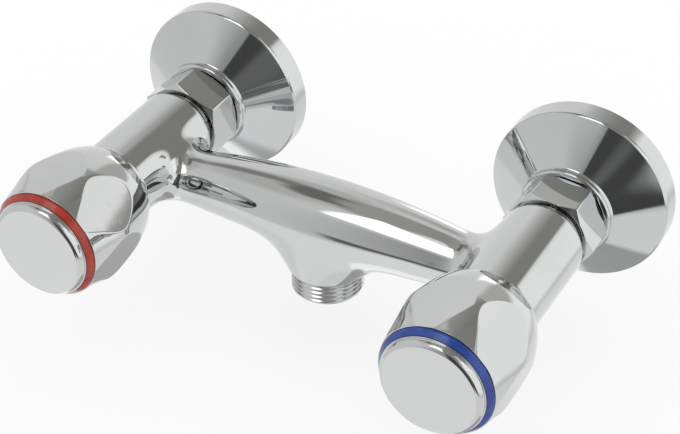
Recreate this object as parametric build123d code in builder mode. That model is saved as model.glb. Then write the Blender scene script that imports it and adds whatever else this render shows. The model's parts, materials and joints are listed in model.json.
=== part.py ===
from build123d import *
import os
from math import cos, radians, sqrt, tan

# A wall shower mixer, in millimetres, standing as it hangs on the wall.
# X runs from the hot side to the cold side, Y into the wall and Z up.
# The origin is midway between the two wall tails, on the face of the wall.
# A place called ..._out is a distance forward from the wall.
# A ..._drop is a depth below the barrels' axes.

# Pipe threads, as plain cylinders at their outside radius
half_inch_r = 20.955 / 2
three_quarter_r = 26.441 / 2
thread_chamfer = 0.9

# Clearances
thread_gap = 0.06
running_gap = 0.08
flat_gap = 0.3
assembly_gap = 0.5
end_gap = 2.0

# Layout of the mixer
inlet_spacing = 150.0
union_offset = 6.5
barrel_length = 46.0
bar_setback = 20.5

# Eccentric unions
tail_length = 18.0
tail_bore_r = 7.0
union_block_gap = 1.0
union_block_length = 8.0
union_block_flats = 24.0
nose_bore_r = 8.0
bore_overlap = 1.5

# Wall flanges
flange_r = 33.5
flange_rim_height = 8.3
flange_wall = 1.5
flange_height = 21.5
flange_collar_r = 17.2
flange_collar_height = 2.2
flange_edge = 0.7

# Union nuts, tail bushes and inlet gaskets
nut_across_flats = 30.0
nut_length = 15.0
nut_lip = 2.2
nut_turn = {"hot": 36.0, "cold": 55.0}
bush_flange_thickness = 1.8
bush_shank_r = 10.2
bush_reach = 10.0
bush_key_across_flats = 12.0
gasket_thickness = 2.0
gasket_bore_r = 8.6

# Barrels, seats and waterways of the mixer body
barrel_r = 15.3
barrel_edge = 0.9
inlet_bore_r = 8.5
inlet_depth = 14.0
seat_thickness = 3.0
seat_hole_r = 5.5
seat_lip_width = 1.6
seat_lip_height = 1.0
chamber_r = 9.3
chamber_length = 14.0
waterway_r = 4.5
waterway_setback = 22.8
waterway_drop = 3.0

# Bar between the barrels
bar_middle_r = 13.8
bar_end_r = 7.6
bar_middle_drop = 3.0
bar_end_drop = 5.6
bar_end_depth = 3.0
bar_root_fillet = 6.0

# Outlet boss and its thread
outlet_drop = 33.8
outlet_thread_length = 7.3
outlet_bore_r = 9.0
boss_end_r = 14.2
boss_top_length_r = 32.5
boss_top_depth_r = 12.0
boss_top_drop = 6.0
boss_flare = 1.35

# Headworks and their gaskets
headwork_hex = 22.0
headwork_flange_r = 12.6
headwork_flange_thickness = 1.6
headwork_hex_height = 6.5
headwork_neck_r = 7.0
headwork_neck_length = 7.5
headwork_gasket_thickness = 1.0
guide_across_flats = 13.0
guide_gap = 0.2

# Spindles, O-rings and circlips
spindle_r = 4.5
spindle_collar_r = 6.0
spindle_collar_thickness = 1.8
spindle_collar_depth = 3.5
spindle_drive_r = 3.6
spline_r = 4.0
o_ring_wire_r = 0.95
o_ring_first = 1.4
o_ring_pitch = 4.0
o_ring_count = 2
circlip_thickness = 1.0
circlip_r = 6.0
circlip_groove_depth = 0.8
circlip_mouth = 60.0

# Plungers, seat washers and washer screws
plunger_travel = 4.5
travel_allowance = 1.0
plunger_flange_r = 8.2
plunger_flange_thickness = 3.0
plunger_cup_wall = 0.9
plunger_cup_depth = 1.1
plunger_web = 0.4
washer_thickness = 3.0
seat_gap = 0.1
washer_screw_r = 2.0
washer_screw_head_r = 3.6
washer_screw_head_height = 1.8
washer_screw_length = 5.0
washer_screw_slot = 1.0

# Knobs, measured from their back ends
knob_length = 38.0
knob_back_r = 15.4
knob_shoulder_r = 20.9
knob_shoulder_place = 8.5
knob_widest_r = 24.0
knob_widest_place = 23.5
knob_brow_r = 22.0
knob_brow_place = 32.5
knob_front_r = 20.8
knob_back_slope = 50.0
knob_front_slope = 12.0
knob_cavity_r = 13.9
knob_web_depth = 31.0
knob_web_thickness = 2.5
knob_pocket_depth = 28.5
knob_recess_r = 16.6
facet_count = 6
facet_distance = 21.5
facet_place = 21.5
facet_taper = 3.4
facet_turn = {"hot": 39.0, "cold": 44.0}

# Splined bushes pressed into the knobs
knob_bush_r = 7.5
knob_bush_length = 13.0

# Knob screws
knob_screw_r = 2.45
knob_screw_length = 12.0
knob_screw_head_r = 4.4
knob_screw_head_height = 2.8
knob_screw_key = 3.0
knob_screw_key_depth = 1.8
tapping_allowance = 1.0

# Indicator rings and caps
ring_outer_r = 20.3
ring_front_r = 18.5
ring_thickness = 3.0
ring_edge = 0.6
cap_r = 18.2
cap_thickness = 2.9
cap_edge = 1.8
cap_spigot_length = 5.5
cap_wall = 1.3

# Places that follow from the sizes above
mixer_z = union_offset
union_block_front_out = union_block_gap + union_block_length
bore_meeting_out = union_block_gap + union_block_length / 2
threaded_bore_r = three_quarter_r + thread_gap
nut_back_out = flange_height + assembly_gap
nut_front_out = nut_back_out + nut_length
bush_flange_r = three_quarter_r - flat_gap
bush_flange_front_out = nut_front_out - nut_lip
bush_flange_back_out = bush_flange_front_out - bush_flange_thickness
nose_end_out = bush_flange_back_out - gasket_thickness
body_back_out = nut_front_out + assembly_gap
body_front_out = body_back_out + barrel_length
bar_out = body_back_out + bar_setback
waterway_out = body_back_out + waterway_setback
seat_back_out = body_back_out + inlet_depth
seat_front_out = seat_back_out + seat_thickness
seat_face_out = seat_front_out + seat_lip_height
chamber_front_out = seat_front_out + chamber_length
bar_end_x = inlet_spacing / 2 - bar_end_depth
waterway_end_x = inlet_spacing / 2 - chamber_r / 2
boss_end_drop = outlet_drop - outlet_thread_length
headwork_seat_out = body_front_out + headwork_gasket_thickness
headwork_back_out = chamber_front_out + end_gap
headwork_flange_front_out = headwork_seat_out + headwork_flange_thickness
headwork_hex_front_out = headwork_flange_front_out + headwork_hex_height
headwork_front_out = headwork_hex_front_out + headwork_neck_length
spindle_collar_back_out = headwork_seat_out - spindle_collar_depth
spindle_collar_front_out = spindle_collar_back_out + spindle_collar_thickness
guide_front_out = spindle_collar_front_out + running_gap
o_ring_first_out = headwork_flange_front_out + o_ring_first
circlip_back_out = headwork_front_out + running_gap
washer_back_out = seat_face_out + seat_gap
washer_front_out = washer_back_out + washer_thickness
plunger_back_out = washer_front_out - plunger_cup_depth
plunger_front_out = spindle_collar_back_out - plunger_travel - travel_allowance
plunger_thread_end_out = washer_front_out + washer_screw_length + plunger_web
spindle_drive_back_out = plunger_thread_end_out + plunger_travel + end_gap
plunger_cup_r = plunger_flange_r - plunger_cup_wall
knob_back_out = body_front_out + assembly_gap
knob_front_out = knob_back_out + knob_length
knob_pocket_out = knob_back_out + knob_pocket_depth
knob_web_out = knob_back_out + knob_web_depth
knob_web_front_out = knob_web_out + knob_web_thickness
knob_bush_out = knob_web_out - knob_bush_length
spline_back_out = knob_bush_out - flat_gap
ring_front_out = knob_front_out + ring_thickness
cap_spigot_r = knob_recess_r - running_gap
sides = {"hot": -inlet_spacing / 2, "cold": inlet_spacing / 2}


def axial_plane(axis_x):
    """The plane in which a barrel's profiles are drawn: X is the radius, Y the distance out from the wall."""
    return Plane(origin=(axis_x, 0, mixer_z), x_dir=(1, 0, 0), z_dir=(0, 0, -1))


def axis_of(axis_x):
    """The centre line of one barrel, pointing out from the wall."""
    return Axis((axis_x, 0, mixer_z), (0, -1, 0))


def cross_plane(axis_x, out, height=mixer_z):
    """A plane square to a barrel, facing away from the wall, at a distance out from it."""
    return Plane(origin=(axis_x, -out, height), x_dir=(1, 0, 0), z_dir=(0, -1, 0))


def level_plane(drop):
    """A level plane under the bar, centred on the outlet's axis and facing up."""
    return Plane(origin=(0, -bar_out, mixer_z - drop))


def eccentric_union(axis_x, water):
    """G1/2 tail in the wall, a flatted block, and a G3/4 nose that stands above the tail's centre line."""
    with BuildPart() as union:
        with BuildSketch(cross_plane(axis_x, union_block_gap, mixer_z - union_offset / 2)):
            SlotCenterToCenter(union_offset, 2 * three_quarter_r, rotation=90)
            Rectangle(union_block_flats, 4 * three_quarter_r, mode=Mode.INTERSECT)
        extrude(amount=union_block_length)
        with BuildSketch(cross_plane(axis_x, union_block_front_out)):
            Circle(three_quarter_r)
        extrude(amount=nose_end_out - union_block_front_out)
        nose_edge = union.edges().filter_by(GeomType.CIRCLE).group_by(Axis.Y)[0]
        chamfer(nose_edge, thread_chamfer)
        with BuildSketch(cross_plane(axis_x, union_block_gap, mixer_z - union_offset)):
            Circle(half_inch_r)
        extrude(amount=-tail_length - union_block_gap)
        tail_edge = union.edges().filter_by(GeomType.CIRCLE).group_by(Axis.Y)[-1]
        chamfer(tail_edge, thread_chamfer)
        with BuildSketch(cross_plane(axis_x, bore_meeting_out - bore_overlap)):
            Circle(nose_bore_r)
        extrude(amount=nose_end_out, mode=Mode.SUBTRACT)
        with BuildSketch(cross_plane(axis_x, bore_meeting_out + bore_overlap, mixer_z - union_offset)):
            Circle(tail_bore_r)
        extrude(amount=-2 * tail_length, mode=Mode.SUBTRACT)
    return union


def wall_flange(axis_x, water):
    """A cylindrical rim against the wall, a cone and a thick collar round the union's nose."""
    collar_foot = flange_height - flange_collar_height
    cone_rise = (collar_foot - flange_rim_height) / (flange_r - flange_collar_r)
    inner_r = flange_r - flange_wall
    inner_rim = flange_rim_height + cone_rise * flange_wall - flange_wall
    with BuildPart() as flange:
        with BuildSketch(axial_plane(axis_x)) as section:
            with BuildLine():
                Polyline(
                    (flange_r, 0),
                    (flange_r, flange_rim_height),
                    (flange_collar_r, collar_foot),
                    (flange_collar_r, flange_height),
                    (threaded_bore_r, flange_height),
                    (threaded_bore_r, collar_foot - flange_wall),
                    (flange_collar_r, collar_foot - flange_wall),
                    (inner_r, inner_rim),
                    (inner_r, 0),
                    close=True,
                )
            make_face()
            rim_corner = section.vertices().group_by(Axis.X)[-1].sort_by(Axis.Y)[-1]
            collar_corner = section.vertices().group_by(Axis.Y)[-1].sort_by(Axis.X)[-1]
            fillet([rim_corner, collar_corner], flange_edge)
        revolve(axis=axis_of(axis_x))
    return flange


def union_nut(axis_x, water):
    """A hexagon nut, chamfered at both ends, with an inner lip that bears on the tail bush."""
    corner_r = nut_across_flats / 2 / cos(radians(30))
    cone_drop = (corner_r - nut_across_flats / 2) * sqrt(1 / 3)
    with BuildPart() as nut:
        with BuildSketch(cross_plane(axis_x, nut_back_out)):
            RegularPolygon(corner_r, 6, rotation=nut_turn[water])
        extrude(amount=nut_length)
        with BuildSketch(axial_plane(axis_x)):
            with BuildLine():
                Polyline(
                    (0, nut_back_out),
                    (nut_across_flats / 2, nut_back_out),
                    (corner_r, nut_back_out + cone_drop),
                    (corner_r, nut_front_out - cone_drop),
                    (nut_across_flats / 2, nut_front_out),
                    (0, nut_front_out),
                    close=True,
                )
            make_face()
        revolve(axis=axis_of(axis_x), mode=Mode.INTERSECT)
        with BuildSketch(cross_plane(axis_x, nut_back_out)):
            Circle(threaded_bore_r)
        extrude(amount=nut_length - nut_lip, mode=Mode.SUBTRACT)
        with BuildSketch(cross_plane(axis_x, nut_back_out)):
            Circle(bush_shank_r + flat_gap)
        extrude(amount=nut_length, mode=Mode.SUBTRACT)
    return nut


def tail_bush(axis_x, water):
    """The threaded bush that holds the nut on the body, with a hexagon for its key."""
    with BuildPart() as bush:
        with BuildSketch(cross_plane(axis_x, bush_flange_back_out)):
            Circle(bush_flange_r)
        extrude(amount=bush_flange_thickness)
        with BuildSketch(cross_plane(axis_x, bush_flange_front_out)):
            Circle(bush_shank_r)
        extrude(amount=body_back_out + bush_reach - bush_flange_front_out)
        with BuildSketch(cross_plane(axis_x, bush_flange_back_out)):
            RegularPolygon(bush_key_across_flats / 2, 6, major_radius=False)
        extrude(amount=2 * bush_reach + bush_flange_thickness, mode=Mode.SUBTRACT)
    return bush


def inlet_gasket(axis_x, water):
    """A flat ring between the union's nose and the tail bush."""
    with BuildPart() as gasket:
        with BuildSketch(cross_plane(axis_x, nose_end_out)):
            Circle(bush_flange_r)
            Circle(gasket_bore_r, mode=Mode.SUBTRACT)
        extrude(amount=gasket_thickness)
    return gasket


def mixer_body():
    """Both barrels, the bar, the outlet boss with its thread, the seats and the waterways, as one casting."""
    bar_stations = 6
    boss_stations = 4
    bores = [
        (body_back_out, bush_shank_r + thread_gap, bush_reach + flat_gap),
        (body_back_out, inlet_bore_r, inlet_depth),
        (seat_front_out, chamber_r, chamber_length),
        (chamber_front_out, half_inch_r + thread_gap, body_front_out - chamber_front_out),
    ]
    with BuildPart() as body:
        for step in range(-bar_stations // 2, bar_stations // 2 + 1):
            x = bar_end_x * step / (bar_stations // 2)
            share = (x / bar_end_x) ** 2
            drop = bar_middle_drop + (bar_end_drop - bar_middle_drop) * share
            centre = (x, -bar_out, mixer_z - drop)
            with BuildSketch(Plane(origin=centre, x_dir=(0, 1, 0), z_dir=(1, 0, 0))):
                Circle(bar_middle_r + (bar_end_r - bar_middle_r) * share)
        loft()
        for axis_x in sides.values():
            back_end = (axis_x, -body_back_out, mixer_z)
            with BuildSketch(Plane(origin=back_end, x_dir=(axis_x, 0, 0), z_dir=(0, -1, 0))):
                Circle(barrel_r)
            extrude(amount=barrel_length)
        inner_edges = body.edges().filter_by(GeomType.BSPLINE)
        roots = inner_edges.filter_by(lambda e: e.bounding_box().size.X < barrel_r)
        fillet(roots, bar_root_fillet)
        round_edges = body.edges().filter_by(GeomType.CIRCLE)
        ends = round_edges.filter_by(lambda e: abs(e.radius - barrel_r) < thread_gap)
        fillet(ends, barrel_edge)
        for step in range(boss_stations):
            rise = step / (boss_stations - 1)
            length_r = boss_end_r + (boss_top_length_r - boss_end_r) * rise**boss_flare
            depth_r = boss_end_r + (boss_top_depth_r - boss_end_r) * rise
            with BuildSketch(level_plane(boss_end_drop + (boss_top_drop - boss_end_drop) * rise)):
                Ellipse(length_r, depth_r)
        loft()
        with BuildSketch(level_plane(outlet_drop)):
            Circle(three_quarter_r)
        extrude(amount=outlet_thread_length)
        chamfer(body.edges().group_by(Axis.Z)[0], thread_chamfer)
        for axis_x in sides.values():
            for out, radius, depth in bores:
                with BuildSketch(cross_plane(axis_x, out)):
                    Circle(radius)
                extrude(amount=depth, mode=Mode.SUBTRACT)
            with BuildSketch(cross_plane(axis_x, seat_front_out)):
                Circle(seat_hole_r + seat_lip_width)
            extrude(amount=seat_lip_height)
            with BuildSketch(cross_plane(axis_x, seat_back_out)):
                Circle(seat_hole_r)
            extrude(amount=seat_face_out - seat_back_out, mode=Mode.SUBTRACT)
        with BuildSketch(Plane(origin=(0, -waterway_out, mixer_z - waterway_drop), z_dir=(1, 0, 0))):
            Circle(waterway_r)
        extrude(amount=waterway_end_x, both=True, mode=Mode.SUBTRACT)
        with BuildSketch(level_plane(outlet_drop)):
            Circle(outlet_bore_r)
        extrude(amount=outlet_drop - waterway_drop, mode=Mode.SUBTRACT)
    return body


def headwork(axis_x, water):
    """The brass housing: threaded nose, flange, hexagon and neck, bored as a hexagon to guide the plunger."""
    with BuildPart() as housing:
        with BuildSketch(cross_plane(axis_x, headwork_back_out)):
            Circle(half_inch_r)
        extrude(amount=headwork_seat_out - headwork_back_out)
        with BuildSketch(cross_plane(axis_x, headwork_seat_out)):
            Circle(headwork_flange_r)
        extrude(amount=headwork_flange_thickness)
        with BuildSketch(cross_plane(axis_x, headwork_flange_front_out)):
            RegularPolygon(headwork_hex / 2, 6, major_radius=False)
        extrude(amount=headwork_hex_height)
        with BuildSketch(cross_plane(axis_x, headwork_hex_front_out)):
            Circle(headwork_neck_r)
        extrude(amount=headwork_neck_length)
        with BuildSketch(cross_plane(axis_x, headwork_back_out)):
            RegularPolygon(guide_across_flats / 2, 6, major_radius=False)
        extrude(amount=guide_front_out - headwork_back_out, mode=Mode.SUBTRACT)
        with BuildSketch(cross_plane(axis_x, headwork_back_out)):
            Circle(spindle_r + running_gap)
        extrude(amount=headwork_front_out - headwork_back_out, mode=Mode.SUBTRACT)
    return housing


def headwork_gasket(axis_x, water):
    """A thin ring between the barrel's front face and the headwork's flange."""
    with BuildPart() as gasket:
        with BuildSketch(cross_plane(axis_x, body_front_out)):
            Circle(headwork_flange_r)
            Circle(half_inch_r + thread_gap, mode=Mode.SUBTRACT)
        extrude(amount=headwork_gasket_thickness)
    return gasket


def spindle(axis_x, water):
    """Driving thread, thrust collar, grooved shank, and a splined head tapped for the knob's screw."""
    tapped_depth = knob_screw_length - knob_web_thickness + tapping_allowance
    with BuildPart() as shaft:
        with BuildSketch(axial_plane(axis_x)):
            with BuildLine():
                Polyline(
                    (0, spindle_drive_back_out),
                    (spindle_drive_r, spindle_drive_back_out),
                    (spindle_drive_r, spindle_collar_back_out),
                    (spindle_collar_r, spindle_collar_back_out),
                    (spindle_collar_r, spindle_collar_front_out),
                    (spindle_r, spindle_collar_front_out),
                    (spindle_r, spline_back_out),
                    (spline_r, spline_back_out),
                    (spline_r, knob_web_out),
                    (0, knob_web_out),
                    close=True,
                )
            make_face()
        revolve(axis=axis_of(axis_x))
        grooves = [(circlip_back_out + circlip_thickness / 2, circlip_thickness, circlip_groove_depth)]
        for index in range(o_ring_count):
            grooves.append((o_ring_first_out + index * o_ring_pitch, 2 * o_ring_wire_r, 2 * o_ring_wire_r))
        for out, width, depth in grooves:
            with BuildSketch(cross_plane(axis_x, out - width / 2 - running_gap)):
                Circle(spindle_r + running_gap)
                Circle(spindle_r - depth, mode=Mode.SUBTRACT)
            extrude(amount=width + 2 * running_gap, mode=Mode.SUBTRACT)
        with BuildSketch(cross_plane(axis_x, knob_web_out)):
            Circle(knob_screw_r + thread_gap)
        extrude(amount=-tapped_depth, mode=Mode.SUBTRACT)
    return shaft


def spindle_o_rings(axis_x, water):
    """Two O-rings in the spindle's grooves, running in the housing's bore."""
    with BuildPart() as rings:
        for index in range(o_ring_count):
            with BuildSketch(axial_plane(axis_x)):
                with Locations((spindle_r - o_ring_wire_r, o_ring_first_out + index * o_ring_pitch)):
                    Circle(o_ring_wire_r)
            revolve(axis=axis_of(axis_x))
    return rings


def spindle_circlip(axis_x, water):
    """An open ring in the spindle's front groove, which stops the spindle from falling in."""
    with BuildPart() as circlip:
        with BuildSketch(cross_plane(axis_x, circlip_back_out)):
            Circle(circlip_r)
            Circle(spindle_r - circlip_groove_depth, mode=Mode.SUBTRACT)
            with BuildLine():
                mouth_reach = 2 * circlip_r
                left = PolarLine((0, 0), mouth_reach, 90 - circlip_mouth / 2)
                right = PolarLine((0, 0), mouth_reach, 90 + circlip_mouth / 2)
                Line(left @ 1, right @ 1)
            make_face(mode=Mode.SUBTRACT)
        extrude(amount=circlip_thickness)
    return circlip


def plunger(axis_x, water):
    """A hexagon stem that the guide bore keeps from turning, with a cup for the seat washer."""
    thread_bore_r = spindle_drive_r + running_gap
    stem_flats = guide_across_flats - 2 * guide_gap
    with BuildPart() as stem:
        with BuildSketch(cross_plane(axis_x, plunger_back_out)):
            Circle(plunger_flange_r)
        extrude(amount=plunger_flange_thickness)
        with BuildSketch(cross_plane(axis_x, plunger_back_out)):
            RegularPolygon(stem_flats / 2, 6, major_radius=False)
        extrude(amount=plunger_front_out - plunger_back_out)
        with BuildSketch(cross_plane(axis_x, plunger_back_out)):
            Circle(plunger_cup_r)
        extrude(amount=plunger_cup_depth, mode=Mode.SUBTRACT)
        with BuildSketch(cross_plane(axis_x, washer_front_out)):
            Circle(washer_screw_r + thread_gap)
        extrude(amount=washer_screw_length, mode=Mode.SUBTRACT)
        with BuildSketch(cross_plane(axis_x, plunger_thread_end_out)):
            Circle(thread_bore_r)
        extrude(amount=plunger_front_out - plunger_thread_end_out, mode=Mode.SUBTRACT)
    return stem


def seat_washer(axis_x, water):
    """The rubber washer that closes on the seat's lip."""
    with BuildPart() as washer:
        with BuildSketch(cross_plane(axis_x, washer_back_out)):
            Circle(plunger_cup_r - running_gap)
            Circle(washer_screw_r + thread_gap, mode=Mode.SUBTRACT)
        extrude(amount=washer_thickness)
    return washer


def washer_screw(axis_x, water):
    """A slotted screw that holds the washer in the plunger's cup."""
    head_back_out = washer_back_out - washer_screw_head_height
    with BuildPart() as screw:
        with BuildSketch(cross_plane(axis_x, head_back_out)):
            Circle(washer_screw_head_r)
        extrude(amount=washer_screw_head_height)
        with BuildSketch(cross_plane(axis_x, washer_back_out)):
            Circle(washer_screw_r)
        extrude(amount=washer_thickness + washer_screw_length - flat_gap)
        with BuildSketch(cross_plane(axis_x, head_back_out)):
            Rectangle(2 * washer_screw_head_r, washer_screw_slot)
        extrude(amount=washer_screw_head_height / 2, mode=Mode.SUBTRACT)
    return screw


def knob(axis_x, water):
    """A swelling handle with six flat facets, hollow round the headwork, with a web that seats its bush."""
    back_facet_distance = facet_distance + facet_place * tan(radians(facet_taper))
    with BuildPart() as handle:
        with BuildSketch(axial_plane(axis_x)):
            with BuildLine():
                side = Spline(
                    (knob_back_r, knob_back_out),
                    (knob_shoulder_r, knob_back_out + knob_shoulder_place),
                    (knob_widest_r, knob_back_out + knob_widest_place),
                    (knob_brow_r, knob_back_out + knob_brow_place),
                    (knob_front_r, knob_front_out),
                    tangents=[
                        (tan(radians(knob_back_slope)), 1),
                        (-tan(radians(knob_front_slope)), 1),
                    ],
                )
                Polyline(side @ 1, (0, knob_front_out), (0, knob_back_out), side @ 0)
            make_face()
        revolve(axis=axis_of(axis_x))
        with BuildSketch(cross_plane(axis_x, knob_back_out)):
            RegularPolygon(
                back_facet_distance,
                facet_count,
                major_radius=False,
                rotation=facet_turn[water] + 180 / facet_count,
            )
        extrude(amount=knob_length, taper=facet_taper, mode=Mode.INTERSECT)
        with BuildSketch(cross_plane(axis_x, knob_back_out)):
            Circle(knob_cavity_r)
        extrude(amount=knob_pocket_depth, mode=Mode.SUBTRACT)
        with BuildSketch(cross_plane(axis_x, knob_pocket_out)):
            Circle(knob_bush_r + thread_gap)
        extrude(amount=knob_web_out - knob_pocket_out, mode=Mode.SUBTRACT)
        with BuildSketch(cross_plane(axis_x, knob_web_out)):
            Circle(knob_screw_r + thread_gap)
        extrude(amount=knob_web_thickness, mode=Mode.SUBTRACT)
        with BuildSketch(cross_plane(axis_x, knob_web_front_out)):
            Circle(knob_recess_r)
        extrude(amount=knob_front_out - knob_web_front_out, mode=Mode.SUBTRACT)
    return handle


def knob_bush(axis_x, water):
    """The splined bush that seats on the knob's web and slides over the spindle's head."""
    with BuildPart() as bush:
        with BuildSketch(cross_plane(axis_x, knob_bush_out)):
            Circle(knob_bush_r)
            Circle(spline_r + thread_gap, mode=Mode.SUBTRACT)
        extrude(amount=knob_bush_length)
    return bush


def knob_screw(axis_x, water):
    """A cap screw through the knob's web into the spindle, with a hexagon socket in its head."""
    head_front_out = knob_web_front_out + knob_screw_head_height
    with BuildPart() as screw:
        with BuildSketch(cross_plane(axis_x, knob_web_front_out)):
            Circle(knob_screw_head_r)
        extrude(amount=knob_screw_head_height)
        with BuildSketch(cross_plane(axis_x, knob_web_front_out)):
            Circle(knob_screw_r)
        extrude(amount=-knob_screw_length)
        with BuildSketch(cross_plane(axis_x, head_front_out)):
            RegularPolygon(knob_screw_key / 2, 6, major_radius=False)
        extrude(amount=-knob_screw_key_depth, mode=Mode.SUBTRACT)
    return screw


def indicator_ring(axis_x, water):
    """The coloured ring between the knob and its cap, sloping in towards the cap."""
    with BuildPart() as ring:
        with BuildSketch(axial_plane(axis_x)):
            with BuildLine():
                Polyline(
                    (knob_recess_r, knob_front_out),
                    (ring_outer_r, knob_front_out),
                    (ring_outer_r, knob_front_out + ring_edge),
                    (ring_front_r, ring_front_out),
                    (knob_recess_r, ring_front_out),
                    close=True,
                )
            make_face()
        revolve(axis=axis_of(axis_x))
    return ring


def cap(axis_x, water):
    """A flat round cap with a rounded edge, on a hollow spigot that presses into the knob's recess."""
    hollow_r = cap_spigot_r - cap_wall
    with BuildPart() as cover:
        with BuildSketch(cross_plane(axis_x, ring_front_out)):
            Circle(cap_r)
        extrude(amount=cap_thickness)
        fillet(cover.edges().group_by(Axis.Y)[0], cap_edge)
        with BuildSketch(cross_plane(axis_x, ring_front_out)):
            Circle(cap_spigot_r)
        extrude(amount=-cap_spigot_length)
        with BuildSketch(cross_plane(axis_x, ring_front_out - cap_spigot_length)):
            Circle(hollow_r)
        extrude(amount=cap_spigot_length + cap_thickness - cap_wall, mode=Mode.SUBTRACT)
    return cover


side_pieces = [
    eccentric_union,
    wall_flange,
    union_nut,
    tail_bush,
    inlet_gasket,
    headwork,
    headwork_gasket,
    spindle,
    spindle_o_rings,
    spindle_circlip,
    plunger,
    seat_washer,
    washer_screw,
    knob,
    knob_bush,
    knob_screw,
    indicator_ring,
    cap,
]

os.makedirs("parts", exist_ok=True)
body = mixer_body()
body.part.label = "mixer_body"
export_step(body.part, "parts/mixer_body.step")
for water, axis_x in sides.items():
    for make_piece in side_pieces:
        piece = make_piece(axis_x, water)
        piece.part.label = f"{water}_{make_piece.__name__}"
        export_step(piece.part, f"parts/{piece.part.label}.step")
        print(piece.part.label, round(piece.part.volume), "mm3")
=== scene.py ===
# %% [markdown]
# # A chrome shower mixer
# The packed model arrives as a fixed frame: every piece has its place, and every moving body has its name.
# This script dresses it. Pieces whose shape the eye reads are made again as smooth surfaces, and the
# small working pieces inside keep their solids and get a finish.

# %% Load the frame
import json
from math import atan2, cos, pi, radians, sin, tan

import bmesh
import bpy
import numpy as np
from mathutils import Matrix, Vector

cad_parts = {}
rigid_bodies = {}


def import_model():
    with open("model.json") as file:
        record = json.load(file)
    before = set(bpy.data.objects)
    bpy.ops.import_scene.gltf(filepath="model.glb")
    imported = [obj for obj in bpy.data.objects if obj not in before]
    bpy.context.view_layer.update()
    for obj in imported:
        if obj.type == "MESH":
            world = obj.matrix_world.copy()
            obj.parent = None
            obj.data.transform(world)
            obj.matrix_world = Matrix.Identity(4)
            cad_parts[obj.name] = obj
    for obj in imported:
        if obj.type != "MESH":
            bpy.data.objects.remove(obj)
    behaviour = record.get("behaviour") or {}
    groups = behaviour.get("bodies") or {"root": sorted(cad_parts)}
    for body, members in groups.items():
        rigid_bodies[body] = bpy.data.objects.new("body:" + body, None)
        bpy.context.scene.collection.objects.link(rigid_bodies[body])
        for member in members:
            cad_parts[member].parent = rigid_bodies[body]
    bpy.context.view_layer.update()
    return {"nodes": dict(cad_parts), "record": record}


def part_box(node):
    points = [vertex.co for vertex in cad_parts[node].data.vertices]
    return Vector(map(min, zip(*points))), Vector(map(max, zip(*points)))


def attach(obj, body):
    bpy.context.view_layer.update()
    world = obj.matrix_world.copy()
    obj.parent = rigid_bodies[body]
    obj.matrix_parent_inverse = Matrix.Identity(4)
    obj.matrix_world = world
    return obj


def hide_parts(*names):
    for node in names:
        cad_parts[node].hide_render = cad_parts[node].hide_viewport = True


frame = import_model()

mm = 0.001

# %% [markdown]
# ## The camera
# The view came first, because every later choice is judged through it. The photograph was taken from above
# and from the right with a long lens. The ellipses of the flanges, barrels and caps fix the angles, and the
# spacing of the two inlets fixes the distance. A camera looks along its own -Z, so its three axes are
# worked out from azimuth, elevation and roll and put into its matrix.

# %% The camera
camera_azimuth = radians(29.1)
camera_elevation = radians(36.0)
camera_roll = radians(-0.45)
camera_distance = 657 * mm
camera_target = Vector((-2.3 * mm, -44.5 * mm, -6.8 * mm))
camera_lens = 95.49

back = Vector((
    sin(camera_azimuth) * cos(camera_elevation),
    -cos(camera_azimuth) * cos(camera_elevation),
    sin(camera_elevation),
))
right = Vector((cos(camera_azimuth), sin(camera_azimuth), 0))
right = Matrix.Rotation(camera_roll, 3, back) @ right
up = back.cross(right)
camera_data = bpy.data.cameras.new("camera")
camera_data.lens = camera_lens
camera_data.clip_start = 10 * mm
camera = bpy.data.objects.new("camera", camera_data)
camera.matrix_world = Matrix.Translation(camera_target + back * camera_distance) @ Matrix(
    (right, up, back)
).transposed().to_4x4()
bpy.context.scene.collection.objects.link(camera)
bpy.context.scene.camera = camera
print("camera at, mm:", [round(value / mm, 1) for value in camera.matrix_world.translation])

# %% [markdown]
# ## Measuring the frame
# Both sides of the mixer are the same, so one set of measurements serves both. Each turned piece lies on
# the centre line of its barrel, which runs straight out of the wall. `out` is the distance from the wall.

# %% Measuring the frame
sides = {"hot": -1, "cold": 1}


def place(node):
    """Centre line (x, z) of a CAD node and the two distances out from the wall between which it lies."""
    low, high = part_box(node)
    return (low.x + high.x) / 2, (low.z + high.z) / 2, -high.y, -low.y


axis_x, axis_z, flange_back, flange_front = place("cold_wall_flange")
nut_back, nut_front = place("cold_union_nut")[2:]
knob_back, knob_front = place("cold_knob")[2:]
ring_front = place("cold_indicator_ring")[3]
cap_back, cap_front = place("cold_cap")[2:]
body_back, body_front = place("mixer_body")[2:]
tail_end, nose_end = place("cold_eccentric_union")[2:]
outlet_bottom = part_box("mixer_body")[0].z
print("barrels at x, mm:", round(axis_x / mm, 2), "axis height:", round(axis_z / mm, 2))
print("body from", round(body_back / mm, 2), "to", round(body_front / mm, 2), "mm out from the wall")

# %% [markdown]
# ## Grids of points
# Every new surface here is a grid: rows follow a profile, and columns go round an axis and close on
# themselves. A grid becomes faces by pairing each point with its neighbours, all rows at once. Where its
# first or last row draws together, one more point makes a pole with a fan of triangles. Chrome shows every
# flat spot, so each grid also gets its own normals, from the steps to its neighbours on both sides.

# %% Grids of points
def around(count):
    """Evenly spaced angles round a full turn."""
    return np.arange(count) * 2 * pi / count


def grid_faces(rows, columns, closed=False):
    """Faces of a grid whose columns close on themselves. Its rows do so too where it is closed."""
    row = np.arange(rows if closed else rows - 1)[:, None]
    column = np.arange(columns)[None, :]
    next_row = (row + 1) % rows
    next_column = (column + 1) % columns
    corners = [
        row * columns + column,
        row * columns + next_column,
        next_row * columns + next_column,
        next_row * columns + column,
    ]
    return np.stack(corners, axis=-1).reshape(-1, 4)


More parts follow.
